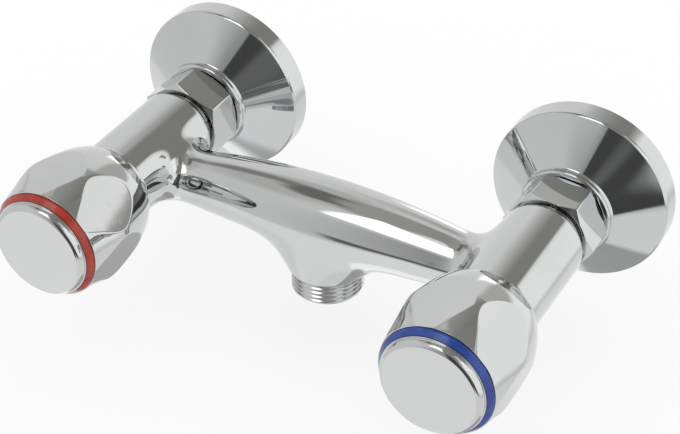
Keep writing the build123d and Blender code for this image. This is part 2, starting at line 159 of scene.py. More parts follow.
def grid_normals(points, closed=False):
    """The cross product of the step round the axis and the step along the profile, over both neighbours."""
    along = np.roll(points, -1, axis=0) - np.roll(points, 1, axis=0)
    if not closed:
        along[0] = points[1] - points[0]
        along[-1] = points[-1] - points[-2]
    across = np.roll(points, -1, axis=1) - np.roll(points, 1, axis=1)
    normals = np.cross(across, along)
    return normals / np.maximum(np.linalg.norm(normals, axis=-1, keepdims=True), 1e-15)


def grid_parts(points, closed=False, start_pole=False, end_pole=False):
    """The points, normals and faces of a grid, with the poles that are asked for."""
    rows, columns = points.shape[:2]
    first_row = np.arange(columns)
    last_row = first_row + (rows - 1) * columns
    flat = points.reshape(-1, 3)
    normals = grid_normals(points, closed).reshape(-1, 3)
    faces = grid_faces(rows, columns, closed).tolist()
    for wanted, row in ((start_pole, first_row[::-1]), (end_pole, last_row)):
        if wanted:
            pole = np.full(columns, len(flat))
            faces += np.stack([pole, row, np.roll(row, -1)], axis=-1).tolist()
            flat = np.vstack([flat, flat[row].mean(axis=0)])
            normals = np.vstack([normals, normals[row].mean(axis=0)])
    return flat, normals, faces


def smooth_piece(mesh, normals):
    """An object made of a mesh, shaded smooth with its own normal at every point."""
    mesh.shade_smooth()
    mesh.normals_split_custom_set_from_vertices(normals.tolist())
    piece = bpy.data.objects.new(mesh.name, mesh)
    bpy.context.scene.collection.objects.link(piece)
    return piece


def grid_piece(name, points, **ends):
    """A grid made into a piece."""
    flat, normals, faces = grid_parts(points, **ends)
    mesh = bpy.data.meshes.new(name)
    mesh.from_pydata(flat.tolist(), [], faces)
    return smooth_piece(mesh, normals)


print("faces of a closed grid of 3 rows and 4 columns:", len(grid_faces(3, 4, closed=True)))

# %% [markdown]
# ## Profiles with rounded corners
# A real edge is never perfectly sharp, and on chrome it is the rounded edge that catches the light. A
# profile is written as its few corners, each with its own rounding, and the arcs are worked out from them.
# Profiles run clockwise with `out` to the right and the radius upwards, so that faces point outwards.

# %% Profiles with rounded corners
small_arc_steps = 3


def rounded(corners, steps=8, closed=True, fine_from=0.0):
    """Points (out, radius) along straight runs whose corners (out, radius, rounding) are turned into arcs.

    The arc at a corner touches both runs at rounding * tan(half the turn) from the corner, and its centre
    lies square to the run before it, one rounding away on the side that the profile turns to. An arc whose
    rounding is smaller than fine_from gets only the few steps of a small arc.
    """
    count = len(corners)
    points = []
    for index, (out, radius, rounding) in enumerate(corners):
        corner = np.array([out, radius], float)
        at_end = not closed and index in (0, count - 1)
        if at_end or rounding == 0:
            points.append(corner[None, :])
            continue
        before = corner - np.array(corners[index - 1][:2])
        after = np.array(corners[(index + 1) % count][:2]) - corner
        before /= np.linalg.norm(before)
        after /= np.linalg.norm(after)
        turn = atan2(before[0] * after[1] - before[1] * after[0], before @ after)
        square = np.array([-before[1], before[0]]) * np.sign(turn)
        start = corner - before * rounding * tan(abs(turn) / 2)
        arc_steps = steps if rounding >= fine_from else small_arc_steps
        angles = turn * np.linspace(0, 1, arc_steps + 1)[:, None]
        spoke = -square * rounding
        spun = np.hstack([
            spoke[0] * np.cos(angles) - spoke[1] * np.sin(angles),
            spoke[0] * np.sin(angles) + spoke[1] * np.cos(angles),
        ])
        points.append(start + square * rounding + spun)
    return np.vstack(points)


def fill_runs(profile, step, closed=True):
    """The same profile with more points on its long runs, so that no step is longer than the given one.

    Each run gets the points start + (end - start) * number / pieces.
    """
    ends = np.roll(profile, -1, axis=0) if closed else profile[1:]
    parts = []
    for start, end in zip(profile, ends):
        pieces = max(1, int(np.ceil(np.linalg.norm(end - start) / step)))
        parts.append(start + (end - start) * np.arange(pieces)[:, None] / pieces)
    if not closed:
        parts.append(profile[-1:])
    return np.vstack(parts)


def turned(out, radius, angles, x, z):
    """Points round a line at (x, z) that runs out of the wall: x + radius * cos, -out, z + radius * sin."""
    return np.stack([
        x + radius * np.cos(angles),
        -out + 0 * (radius + angles),
        z + radius * np.sin(angles),
    ], axis=-1)


def turned_grid(profile, angles, x, z):
    """A whole profile of (out, radius) turned round the line at (x, z)."""
    return turned(profile[:, :1], profile[:, 1:], angles, x, z)


def smooth_lower(first, second, width):
    """The lower of two values, blended where they are closer than width: min - width * share**3 / 6."""
    share = np.maximum(width - np.abs(first - second), 0) / width
    return np.minimum(first, second) - width * share**3 / 6


square_corner = [(0, 0, 0), (1, 0, 0.2), (1, 1, 0)]
print("points on a rounded corner:", len(rounded(square_corner, closed=False)) - 2)

# %% [markdown]
# ## Wall flanges
# Each flange is a spun dish: a straight rim against the wall, a shallow cone, and a thick collar round the
# union. It is hollow behind, so the profile goes round the wall of the dish and closes on itself. A Screw
# modifier could turn it too, but the grid also gives the exact normals that a mirror needs.

# %% Wall flanges
flange_r = 33.5 * mm
flange_rim = 8.3 * mm
flange_wall = 1.5 * mm
flange_collar_r = 17.2 * mm
flange_collar_foot = flange_front - 2.2 * mm
nose_hole_r = 13.28 * mm


def wall_flange(water, side):
    """A turned dish whose rim, cone and collar have small rounded corners."""
    slope = (flange_collar_foot - flange_rim) / (flange_r - flange_collar_r)
    inner_r = flange_r - flange_wall
    profile = rounded([
        (flange_back, flange_r, 0.3 * mm),
        (flange_rim, flange_r, 1.5 * mm),
        (flange_collar_foot, flange_collar_r, 1.3 * mm),
        (flange_front, flange_collar_r, 0.9 * mm),
        (flange_front, nose_hole_r, 0.3 * mm),
        (flange_collar_foot - flange_wall, nose_hole_r, 0.2 * mm),
        (flange_collar_foot - flange_wall, flange_collar_r, 0.5 * mm),
        (flange_rim + slope * flange_wall - flange_wall, inner_r, 0.8 * mm),
        (flange_back, inner_r, 0.3 * mm),
    ])
    points = turned_grid(fill_runs(profile, 4 * mm), around(288), side * axis_x, axis_z)
    piece = grid_piece(f"{water}_cover_flange", points, closed=True)
    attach(piece, "mixer")
    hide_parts(f"{water}_wall_flange")
    return piece


flanges = [wall_flange(water, side) for water, side in sides.items()]
print("flange points:", len(flanges[0].data.vertices))

# %% [markdown]
# ## Union nuts
# A nut starts as a turned blank with a cone at each end, and six flats are then cut into it. In numbers a
# flat is a limit on the radius: distance / cos(angle from the flat's middle). Boolean cuts could make them
# too, but would leave sharp edges. Taking the smoothly blended lower value of the blank and the flats gives
# the worn corners and the curved chamfers at once.

# %% Union nuts
nut_flat = 15.0 * mm
nut_flat_turn = {"hot": radians(66.0), "cold": radians(85.0)}
nut_blank_r = 17.25 * mm
nut_chamfer = 1.5 * mm
nut_lip = 2.2 * mm
nut_lip_r = 10.5 * mm
nut_edge_blend = 0.3 * mm
corner_blend = 0.6 * mm


def flats_limit(angles, turn, distance, count=6):
    """How far out six flats allow a surface to reach: the blended lower value of the two nearest flats."""
    sector = 2 * pi / count
    nearest = np.mod(angles - turn + sector / 2, sector) - sector / 2
    ahead = distance / np.cos(nearest)
    beside = distance / np.cos(sector - np.abs(nearest))
    return smooth_lower(ahead, beside, corner_blend)


def union_nut(water, side):
    """A turned blank limited by six flats."""
    profile = rounded([
        (nut_back, nut_flat, 0.15 * mm),
        (nut_back + nut_chamfer, nut_blank_r, 0.15 * mm),
        (nut_front - nut_chamfer, nut_blank_r, 0.15 * mm),
        (nut_front, nut_flat, 0.15 * mm),
        (nut_front, nut_lip_r, 0.3 * mm),
        (nut_front - nut_lip, nut_lip_r, 0.2 * mm),
        (nut_front - nut_lip, nose_hole_r, 0.2 * mm),
        (nut_back, nose_hole_r, 0.4 * mm),
    ], steps=5)
    profile = fill_runs(profile, 0.25 * mm)
    angles = around(480)
    limit = flats_limit(angles, nut_flat_turn[water], nut_flat)
    radius = smooth_lower(profile[:, 1:], limit, nut_edge_blend)
    points = turned(profile[:, :1], radius, angles, side * axis_x, axis_z)
    piece = grid_piece(f"{water}_hexagon_nut", points, closed=True)
    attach(piece, "mixer")
    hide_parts(f"{water}_union_nut")
    return piece


nuts = [union_nut(water, side) for water, side in sides.items()]
print("nut points:", len(nuts[0].data.vertices))

# %% [markdown]
# ## A curve through measured places
# The side of a knob was measured at a few places only. A cubic between each two of them keeps both radii and
# both slopes, so the curve has no kink that the chrome would show. A curve object could do the same, but the
# flats that come next need the radius as a formula.

# %% A curve through measured places
knob_places = np.array([0.0, 2.4, 8.5, 16.5, 23.5, 32.5, 38.0]) * mm
knob_radii = np.array([15.6, 18.6, 21.1, 23.0, 24.0, 21.9, 20.8]) * mm
knob_slopes = np.array([1.9, 0.52, 0.31, 0.20, -0.01, -0.24, -0.17])


def through_places(places, values, slopes, at):
    """A cubic between each two places, which meets both values and both slopes.

    With the share of the way from one place to the next, the second value counts 3 share**2 - 2 share**3 and
    the first the rest. The slopes count share (1 - share)**2 and share**2 (share - 1), times the length.
    """
    index = np.clip(np.searchsorted(places, at) - 1, 0, len(places) - 2)
    length = places[index + 1] - places[index]
    share = (at - places[index]) / length
    rise = 3 * share**2 - 2 * share**3
    start_lean = (share - 2 * share**2 + share**3) * length
    end_lean = (share**3 - share**2) * length
    return (
        values[index] * (1 - rise) + values[index + 1] * rise
        + slopes[index] * start_lean + slopes[index + 1] * end_lean
    )


half_way = knob_places[-1:] / 2
half_way_r = through_places(knob_places, knob_radii, knob_slopes, half_way)[0]
print("a knob's radius half way along, mm:", round(half_way_r / mm, 2))

# %% [markdown]
# ## Knobs
# A knob rises steeply from its back end, swells to its widest place and draws in again towards the cap. Six
# shallow flats lean inwards towards the front. They leave hourglass ridges between them and die out in an
# arch at the back. As on the nuts, each flat is a limit on the radius, so the ridges come out by themselves.
# A thin lip at the front stands proud round the coloured ring.

# %% Knobs
facet_turn = {"hot": radians(39.0), "cold": radians(44.0)}
facet_distance = 21.5 * mm
facet_place = 21.5 * mm
facet_fall = 0.06
facet_blend = 0.22 * mm
knob_cavity_r = 13.9 * mm
knob_seat_r = 7.56 * mm
knob_pocket_depth = 28.5 * mm
knob_web_depth = 31.0 * mm
knob_web_front = 33.5 * mm
knob_screw_hole_r = 2.51 * mm
knob_recess_r = 16.6 * mm
knob_lip = 0.4 * mm
ring_r = 20.25 * mm
ring_gap = 0.03 * mm


def knob(water, side):
    """The swelling side limited by six leaning flats, and turned hollows behind and in front."""
    places = np.linspace(0, knob_front - knob_back, 110)
    side_r = through_places(knob_places, knob_radii, knob_slopes, places)
    outside = [(knob_back + at, r, 0) for at, r in zip(places[1:-1], side_r[1:-1])]
    profile = rounded([
        (knob_back, side_r[0], 0.15 * mm),
        *outside,
        (knob_front + knob_lip, side_r[-1] - 0.1 * mm, 0.15 * mm),
        (knob_front + knob_lip, ring_r + ring_gap, 0.15 * mm),
        (knob_front, ring_r + ring_gap, 0),
        (knob_front, knob_recess_r, 0.3 * mm),
        (knob_back + knob_web_front, knob_recess_r, 0.5 * mm),
        (knob_back + knob_web_front, knob_screw_hole_r, 0.2 * mm),
        (knob_back + knob_web_depth, knob_screw_hole_r, 0.2 * mm),
        (knob_back + knob_web_depth, knob_seat_r, 0.2 * mm),
        (knob_back + knob_pocket_depth, knob_seat_r, 0.3 * mm),
        (knob_back + knob_pocket_depth, knob_cavity_r, 0.8 * mm),
        (knob_back, knob_cavity_r, 0.4 * mm),
    ], steps=4)
    angles = around(540)
    out, radius = profile[:, :1], profile[:, 1:]
    distance = facet_distance - facet_fall * (out - knob_back - facet_place)
    radius = smooth_lower(radius, flats_limit(angles, facet_turn[water], distance), facet_blend)
    points = turned(out, radius, angles, side * axis_x, axis_z)
    piece = grid_piece(f"{water}_faceted_knob", points, closed=True)
    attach(piece, f"{water}_handle")
    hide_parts(f"{water}_knob")
    return piece


knobs = [knob(water, side) for water, side in sides.items()]
print("knob triangles:", 2 * len(knobs[0].data.polygons))

# %% [markdown]
# ## Indicator rings and caps
# The coloured ring lies between knob and cap, seated behind the knob's lip, and rounds over towards the cap.
# The cap is almost flat, with a thin lip against the ring and a softly rounded edge, and its hollow spigot
# presses into the knob. Its profile starts and ends beside the centre line, so both ends close with a pole.

# %% Indicator rings and caps
ring_front_r = 18.3 * mm
ring_step = 0.9 * mm
cap_r = 18.2 * mm
cap_lip = 0.35 * mm
cap_crown = 0.12 * mm
spigot_r = 16.52 * mm
spigot_wall = 1.3 * mm
pole_r = 0.4 * mm


def indicator_ring(water, side):
    """A turned ring: a short straight step at the knob, rounded over into a slope towards the cap."""
    profile = rounded([
        (knob_front, ring_r, 0.15 * mm),
        (knob_front + ring_step, ring_r, 1.4 * mm),
        (ring_front, ring_front_r, 1.1 * mm),
        (ring_front, knob_recess_r, 0.2 * mm),
        (knob_front, knob_recess_r, 0.2 * mm),
    ])
    points = turned_grid(fill_runs(profile, 0.6 * mm), around(288), side * axis_x, axis_z)
    piece = grid_piece(f"{water}_colour_ring", points, closed=True)
    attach(piece, f"{water}_handle")
    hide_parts(f"{water}_indicator_ring")
    return piece


def cap(water, side):
    """A cap with a faint crown, from the ceiling of its hollow round the lip to the middle of its front."""
    hollow_r = spigot_r - spigot_wall
    ceiling = cap_front - spigot_wall
    edge_front = cap_front - cap_crown
    profile = rounded([
        (ceiling, pole_r, 0),
        (ceiling, hollow_r, 0.4 * mm),
        (cap_back, hollow_r, 0.2 * mm),
        (cap_back, spigot_r, 0.3 * mm),
        (ring_front, spigot_r, 0.2 * mm),
        (ring_front, cap_r + cap_lip, 0.15 * mm),
        (ring_front + cap_lip, cap_r + cap_lip, 0.15 * mm),
        (ring_front + cap_lip, cap_r, 0.05 * mm),
        (edge_front, cap_r, 2.2 * mm),
        (cap_front - 0.25 * cap_crown, cap_r / 2, 40 * mm),
        (cap_front, pole_r, 0),
    ], steps=12, closed=False)
    profile = fill_runs(profile, 1.2 * mm, closed=False)
    points = turned_grid(profile, around(288), side * axis_x, axis_z)
    piece = grid_piece(f"{water}_end_cap", points, start_pole=True, end_pole=True)
    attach(piece, f"{water}_handle")
    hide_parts(f"{water}_cap")
    return piece


rings = [indicator_ring(water, side) for water, side in sides.items()]
caps = [cap(water, side) for water, side in sides.items()]
print("caps and rings:", ", ".join(piece.name for piece in caps + rings))

# %% [markdown]
# ## Pipe threads
# A pipe thread is a V-shaped groove wound round a cylinder, with rounded crests and roots. At an angle and
# a place along the axis, the phase is place / pitch - angle / full turn, and the depth of the groove is a
# rounded triangle wave of that phase. Near the ends it fades out, as a cutting tool leaves it. A winding
# strip would have to be joined to the piece, while this groove is only a smaller radius of the same grid.

# %% Pipe threads
pipe_pitch = 1.814 * mm
pipe_depth = 1.16 * mm
thread_flat = 0.14
thread_softness = 0.05
thread_fade = 1.0 * mm
thread_chamfer = 0.9 * mm
thread_start = 0.05 * mm


def thread_cut(place_along, angles, fade_start, fade_end):
    """Depth of the groove: a triangle wave softened at crest and root, faded in and out near both ends.

    The wave is 1 - 2 |phase - 0.5|. It is cut off at crest and root, and a small sine of it is added.
    """
    phase = np.mod(place_along / pipe_pitch - angles / (2 * pi), 1)
    wave = 1 - 2 * np.abs(phase - 0.5)
    soft = np.clip((wave - thread_flat) / (1 - 2 * thread_flat), 0, 1)
    soft = soft + thread_softness * np.sin(2 * pi * soft) / pi
    start = np.clip((place_along - fade_start) / thread_fade, 0, 1)
    end = np.clip((fade_end - place_along) / thread_fade, 0, 1)
    return pipe_depth * soft * start * end


print("turns of thread in a centimetre:", round(10 * mm / pipe_pitch, 1))

# %% [markdown]
# ## Eccentric unions
# Each union joins a pipe in the wall to the mixer. Its nose sits higher than its tail, and a block with two
# flats between them takes a spanner. The outline changes from a circle to the block and back to a circle,
# so every row of the grid has its own centre and its own limit on the radius.

# %% Eccentric unions
tail_r = 10.478 * mm
nose_r = 13.22 * mm
union_offset = axis_z
union_thread_step = 0.13 * mm
tail_run_out = 1.5 * mm
block_back = 1.0 * mm
block_front = 9.0 * mm
block_flat = 12.0 * mm
block_rounding = 0.8 * mm
block_edge_blend = 0.8 * mm
tail_bore_r = 7.0 * mm
nose_bore_r = 8.0 * mm
slant_back = 3.0 * mm
slant_front = 7.0 * mm


def block_outline(angles):
    """Radius of the block about its own middle: two circles, each half the offset away, between two flats.

    A circle's edge lies at half |sin| + the root of (radius**2 - (half cos)**2), and a flat's edge at its
    distance / |cos|.
    """
    half = union_offset / 2
    reach = half * np.abs(np.sin(angles)) + np.sqrt(nose_r**2 - (half * np.cos(angles)) ** 2)
    flat = block_flat / np.maximum(np.abs(np.cos(angles)), 0.01)
    return smooth_lower(reach, flat, block_edge_blend)


def eccentric_union(water, side):
    """Threaded tail, block and threaded nose, with a slanting bore from one centre line to the other."""
    angles = around(160)
    outline = block_outline(angles)
    quarter = np.linspace(0, pi / 2, 6)
    rows = []

    def add_row(out, centre, radius):
        """One ring of points at a distance out, about a centre height."""
        rows.append(turned(out, radius, angles, side * axis_x, centre))

    def add_block_row(out, inset):
        """One ring round the block, drawn in by an inset."""
        add_row(out, union_offset / 2, outline - inset)

    for out in np.arange(tail_end, block_back, union_thread_step):
        chamfer = max(tail_end + thread_chamfer - out, 0)
        cut = thread_cut(out - tail_end, angles, -mm, block_back - tail_end - tail_run_out)
        add_row(out, 0, tail_r - np.maximum(cut, chamfer))
    for turn in quarter[::-1]:
        add_block_row(block_back + block_rounding * (1 - sin(turn)), block_rounding * (1 - cos(turn)))
    for turn in quarter:
        add_block_row(block_front - block_rounding * (1 - sin(turn)), block_rounding * (1 - cos(turn)))
    for out in np.arange(block_front + thread_start, nose_end, union_thread_step):
        chamfer = max(out - nose_end + thread_chamfer, 0)
        cut = thread_cut(out, angles, block_front + mm, nose_end + mm)
        add_row(out, union_offset, nose_r - np.maximum(cut, chamfer))
    add_row(nose_end, union_offset, nose_bore_r)
    for share in np.linspace(0, 1, 9):
        ease = 3 * share**2 - 2 * share**3
        radius = nose_bore_r + (tail_bore_r - nose_bore_r) * ease
        add_row(slant_front - (slant_front - slant_back) * share, union_offset * (1 - ease), radius)
    add_row(tail_end, 0, tail_bore_r)
    piece = grid_piece(f"{water}_offset_union", np.stack(rows), closed=True)
    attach(piece, "mixer")
    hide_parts(f"{water}_eccentric_union")
    return piece


unions = [eccentric_union(water, side) for water, side in sides.items()]
print("union points:", len(unions[0].data.vertices))

# %% [markdown]
# ## The body's shape as a formula
# Barrels, bar and outlet boss flow into each other, so no single profile makes the body. Instead each form
# is written as a field: roughly the distance to its surface, negative inside. The blended lower value of
# the three fields is one smooth surface, and the width of the blend is the size of the fillets. Solids joined
# and bevelled would show the bevel's edges in the chrome, and the blend has none.

# %% The body's shape as a formula
barrel_r = 15.3 * mm
barrel_back_edge = 3.2 * mm
barrel_neck = 0.9 * mm
barrel_neck_r = 11.8 * mm
barrel_shoulder = 1.5 * mm
bar_out = body_back + 20.5 * mm
bar_middle_r = 13.8 * mm
bar_taper = 1.22
bar_middle_drop = 3.0 * mm
bar_end_drop = 5.6 * mm
bar_end_x = 72.0 * mm
root_blend = 14.0 * mm
boss_end_drop = 24.9 * mm
boss_edge = 1.1 * mm
boss_end_r = 14.3 * mm
boss_depth_r = 14.2 * mm
boss_lean = 1.02
boss_depth_lean = -0.11
boss_top_drop = 7.0 * mm
boss_top_blend = 8.0 * mm
boss_least_r = 2.0 * mm
boss_blend = 9.0 * mm


def bar_line(x):
    """Height of the bar's centre line and its radius: both change with the square of x."""
    drop = bar_middle_drop + (bar_end_drop - bar_middle_drop) * (x / bar_end_x) ** 2
    return axis_z - drop, bar_middle_r - bar_taper * x**2


def boss_size(z):
    """Half length and half depth of the outlet boss at a height: it leans outwards from its lower end."""
    rise = z - (axis_z - boss_end_drop)
    return boss_end_r + boss_lean * rise, boss_depth_r + boss_depth_lean * rise


def body_field(points):
    """Blended lower value of both barrels, the bar that ends on their axes, and the boss.

    A barrel is the distance from its axis less its radius, and the bar is the same about its own line. The
    boss is an ellipse at each height: share is the factor that enlarges the ellipse until it meets the
    point, and (share - 1) divided by the slope of share is close to a distance. The tiny values that are
    added keep that division safe on the boss's own axis.
    """
    x, y, z = points.T
    barrels = np.hypot(np.abs(x) - axis_x, z - axis_z) - barrel_r
    height, radius = bar_line(x)
    bar = np.maximum(np.hypot(y + bar_out, z - height) - radius, np.abs(x) - axis_x)
    half_length, half_depth = boss_size(z)
    half_length = np.maximum(half_length, boss_least_r)
    share = np.sqrt((x / half_length) ** 2 + ((y + bar_out) / half_depth) ** 2) + 1e-9
    slope = np.sqrt((x / half_length**2) ** 2 + ((y + bar_out) / half_depth**2) ** 2) + 1e-6
    cone = share * (share - 1) / slope
    boss = -smooth_lower(-cone, -(z - axis_z + boss_top_drop), boss_top_blend)
    return smooth_lower(smooth_lower(bar, boss, boss_blend), barrels, root_blend)


def field_slope(points):
    """The field's slope in x, y and z, from its values a hundredth of a millimetre to both sides."""
    step = 0.01 * mm
    slopes = [
        (body_field(points + step * axis) - body_field(points - step * axis)) / (2 * step)
        for axis in np.eye(3)
    ]
    return np.stack(slopes, axis=-1)


def onto_surface(points, rounds=6, longest=2 * mm):
    """Moves points down the slope of the field, by value / slope each round, onto its surface."""
    for _ in range(rounds):
        slope = field_slope(points)
        square = np.maximum((slope**2).sum(axis=-1), 1e-3)
        step = body_field(points) / square
        points = points - np.clip(step, -longest, longest)[:, None] * slope
    return points


bar_radii = [round(bar_line(x)[1] / mm, 1) for x in (0, bar_end_x)]
print("the bar's radius at its middle and at its ends, mm:", bar_radii)

# %% [markdown]
# ## Rough forms of the body
# The formula needs faces to carry it. They start as four rough closed forms: two barrels, the bar and the
# boss. The forms overlap, and the barrels and the boss reach past their real ends, so that the surface can
# be cut off square later. A bmesh collects them, because it can join meshes and follow their open edges.

# %% Rough forms of the body
rough_spare = 3.0 * mm
rough_boss_spare = 2.0 * mm
rough_step = 4.0 * mm


def add_grid(whole, points, **poles):
    """Adds a grid to a bmesh, and gives the edges of its first and last row, and its normals."""
    start = len(whole.verts)
    flat, normals, faces = grid_parts(points, **poles)
    mesh = bpy.data.meshes.new("grid")
    mesh.from_pydata(flat.tolist(), [], faces)
    whole.from_mesh(mesh)
    bpy.data.meshes.remove(mesh)
    whole.verts.ensure_lookup_table()
    rows, columns = points.shape[:2]
    edges = []
    for first in (start, start + (rows - 1) * columns):
        ring = whole.verts[first : first + columns]
        edges.append([whole.edges.get(pair) for pair in zip(ring, ring[1:] + ring[:1])])
    return edges, normals


def rough_body():
    """A mesh of two barrels, the bar and the boss, as closed forms that overlap."""
    angles = around(48)
    profile = np.array([(body_back - rough_spare, barrel_r), (body_front + rough_spare, barrel_r)])
    profile = fill_runs(profile, rough_step, closed=False)
    forms = [turned_grid(profile, angles, side * axis_x, axis_z) for side in sides.values()]
    x = np.linspace(-bar_end_x, bar_end_x, 37)[:, None]
    height, radius = bar_line(x)
    forms.append(np.stack([
        x + 0 * angles,
        -bar_out - radius * np.cos(angles),
        height + radius * np.sin(angles),
    ], axis=-1))
    z = np.linspace(axis_z - boss_end_drop - rough_boss_spare, axis_z - boss_top_drop, 8)[:, None]
    half_length, half_depth = boss_size(z)
    forms.append(np.stack([
        half_length * np.cos(angles),
        -bar_out - half_depth * np.sin(angles),
        z + 0 * angles,
    ], axis=-1))
    whole = bmesh.new()
    for form in forms:
        add_grid(whole, form, start_pole=True, end_pole=True)
    mesh = bpy.data.meshes.new("rough")
    whole.to_mesh(mesh)
    whole.free()
    return mesh


skin = rough_body()
print("faces of the rough forms:", len(skin.polygons))

# %% [markdown]
# ## The body's skin
# The rough forms are remeshed into small even squares inside one skin, and every point is moved onto the
# formula's surface. A Boolean would leave long thin faces where the forms meet. A second remesh evens out
# the squares in the fillets. The skin is then cut square near the barrels' ends and near the boss's lower
# end, where turned grids take over.

# %% The body's skin
skin_cut_back = body_back + barrel_neck + barrel_back_edge + 0.4 * mm
skin_cut_front = body_front - barrel_shoulder - 0.4 * mm
skin_cut_drop = boss_end_drop - boss_edge - 0.2 * mm
square_sizes = (1.0 * mm, 0.66 * mm)


def remeshed(mesh, size):
    """A new mesh of the same form, in small even squares and inside one skin."""
    rough = bpy.data.objects.new("rough", mesh)
    bpy.context.scene.collection.objects.link(rough)
    squares = rough.modifiers.new("squares", "REMESH")
    squares.mode = "VOXEL"
    squares.voxel_size = size
    even = bpy.data.meshes.new_from_object(rough.evaluated_get(bpy.context.evaluated_depsgraph_get()))
    bpy.data.objects.remove(rough)
    bpy.data.meshes.remove(mesh)
    return even


def mesh_points(mesh):
    """The places of a mesh's points as one array."""
    places = np.zeros(len(mesh.vertices) * 3)
    mesh.vertices.foreach_get("co", places)
    return places.reshape(-1, 3)


def cut_open(mesh):
    """The skin cut square at the planes near its ends."""
    skin = bmesh.new()
    skin.from_mesh(mesh)
    cuts = [
        ((0, -skin_cut_back, 0), (0, 1, 0)),
        ((0, -skin_cut_front, 0), (0, -1, 0)),
        ((0, 0, axis_z - skin_cut_drop), (0, 0, -1)),
    ]
    for place_on_plane, outward in cuts:
        everything = [*skin.verts, *skin.edges, *skin.faces]
        bmesh.ops.bisect_plane(
            skin, geom=everything, dist=1e-7, plane_co=place_on_plane, plane_no=outward, clear_outer=True,
        )
    skin.to_mesh(mesh)
    skin.free()
    return mesh


for size in square_sizes:
    skin = remeshed(skin, size)
    skin.vertices.foreach_set("co", onto_surface(mesh_points(skin)).ravel())
    skin.update()
skin = cut_open(skin)
furthest_off = np.abs(body_field(mesh_points(skin))).max()
print("skin points:", len(skin.vertices), "furthest off the formula, mm:", round(furthest_off / mm, 4))

# %% [markdown]
# ## Barrel liners
# The skin's cut ends continue as turned grids. A liner runs through each barrel, from its front shoulder
# through bores and seat to a short neck behind its round back edge. It is one profile, because on the real
# casting a lathe turns all of it along one axis.

# %% Barrel liners
bush_bore_r = 10.26 * mm
bush_bore_end = body_back + 10.3 * mm
inlet_bore_r = 8.5 * mm
seat_back = body_back + 14.0 * mm
seat_hole_r = 5.5 * mm
seat_front = seat_back + 3.0 * mm
seat_lip_r = 7.1 * mm
seat_lip_front = seat_front + 1.0 * mm
chamber_r = 9.3 * mm
chamber_front = seat_front + 14.0 * mm
headwork_bore_r = 10.54 * mm
skin_gap = 0.1 * mm


def barrel_liner(side):
    """From the skin at the front, round the shoulder, through bores and seat, to the skin at the back."""
    profile = rounded([
        (skin_cut_front + skin_gap, barrel_r, 0),
        (body_front, barrel_r, barrel_shoulder),
        (body_front, headwork_bore_r, 0.3 * mm),
        (chamber_front, headwork_bore_r, 0.2 * mm),
        (chamber_front, chamber_r, 0.3 * mm),
        (seat_front, chamber_r, 0.5 * mm),
        (seat_front, seat_lip_r, 0.2 * mm),
        (seat_lip_front, seat_lip_r, 0.3 * mm),
        (seat_lip_front, seat_hole_r, 0.3 * mm),
        (seat_back, seat_hole_r, 0.3 * mm),
        (seat_back, inlet_bore_r, 0.5 * mm),
        (bush_bore_end, inlet_bore_r, 0.2 * mm),
        (bush_bore_end, bush_bore_r, 0.2 * mm),
        (body_back, bush_bore_r, 0.3 * mm),
        (body_back, barrel_neck_r, 0.2 * mm),
        (body_back + barrel_neck, barrel_neck_r, 0.3 * mm),
        (body_back + barrel_neck, barrel_r, barrel_back_edge),
        (skin_cut_back - skin_gap, barrel_r, 0),
    ], steps=10, closed=False, fine_from=mm)
    return turned_grid(profile, around(128), side * axis_x, axis_z)


barrel_liners = {water: barrel_liner(side) for water, side in sides.items()}
print("rows and columns of a barrel's liner:", barrel_liners["hot"].shape[:2])

# %% [markdown]
# ## Hose thread and outlet bore
# The boss continues round its lower edge, down the hose thread and up the outlet bore, which has a round
# top. Its outline changes from an ellipse to a circle there, so every row has its own length and depth.
# Plating fills the grooves of this thread in part, so they are shallower than those on the bare brass of
# the unions.

# %% Hose thread and outlet bore
outlet_thread_r = 13.22 * mm
outlet_thread_step = 0.15 * mm
plated_thread = 0.64
thread_foot_gap = 0.3 * mm
thread_foot = 0.2 * mm
relief_slope = 1.5
relief_depth = 1.05 * mm
outlet_lip = 0.15 * mm
outlet_bore_r = 9.0 * mm
outlet_bore_edge = 0.5 * mm
outlet_bore_top = 3.2 * mm
outlet_bore_dome = 3.0 * mm
dome_end_turn = pi / 2 - 0.1


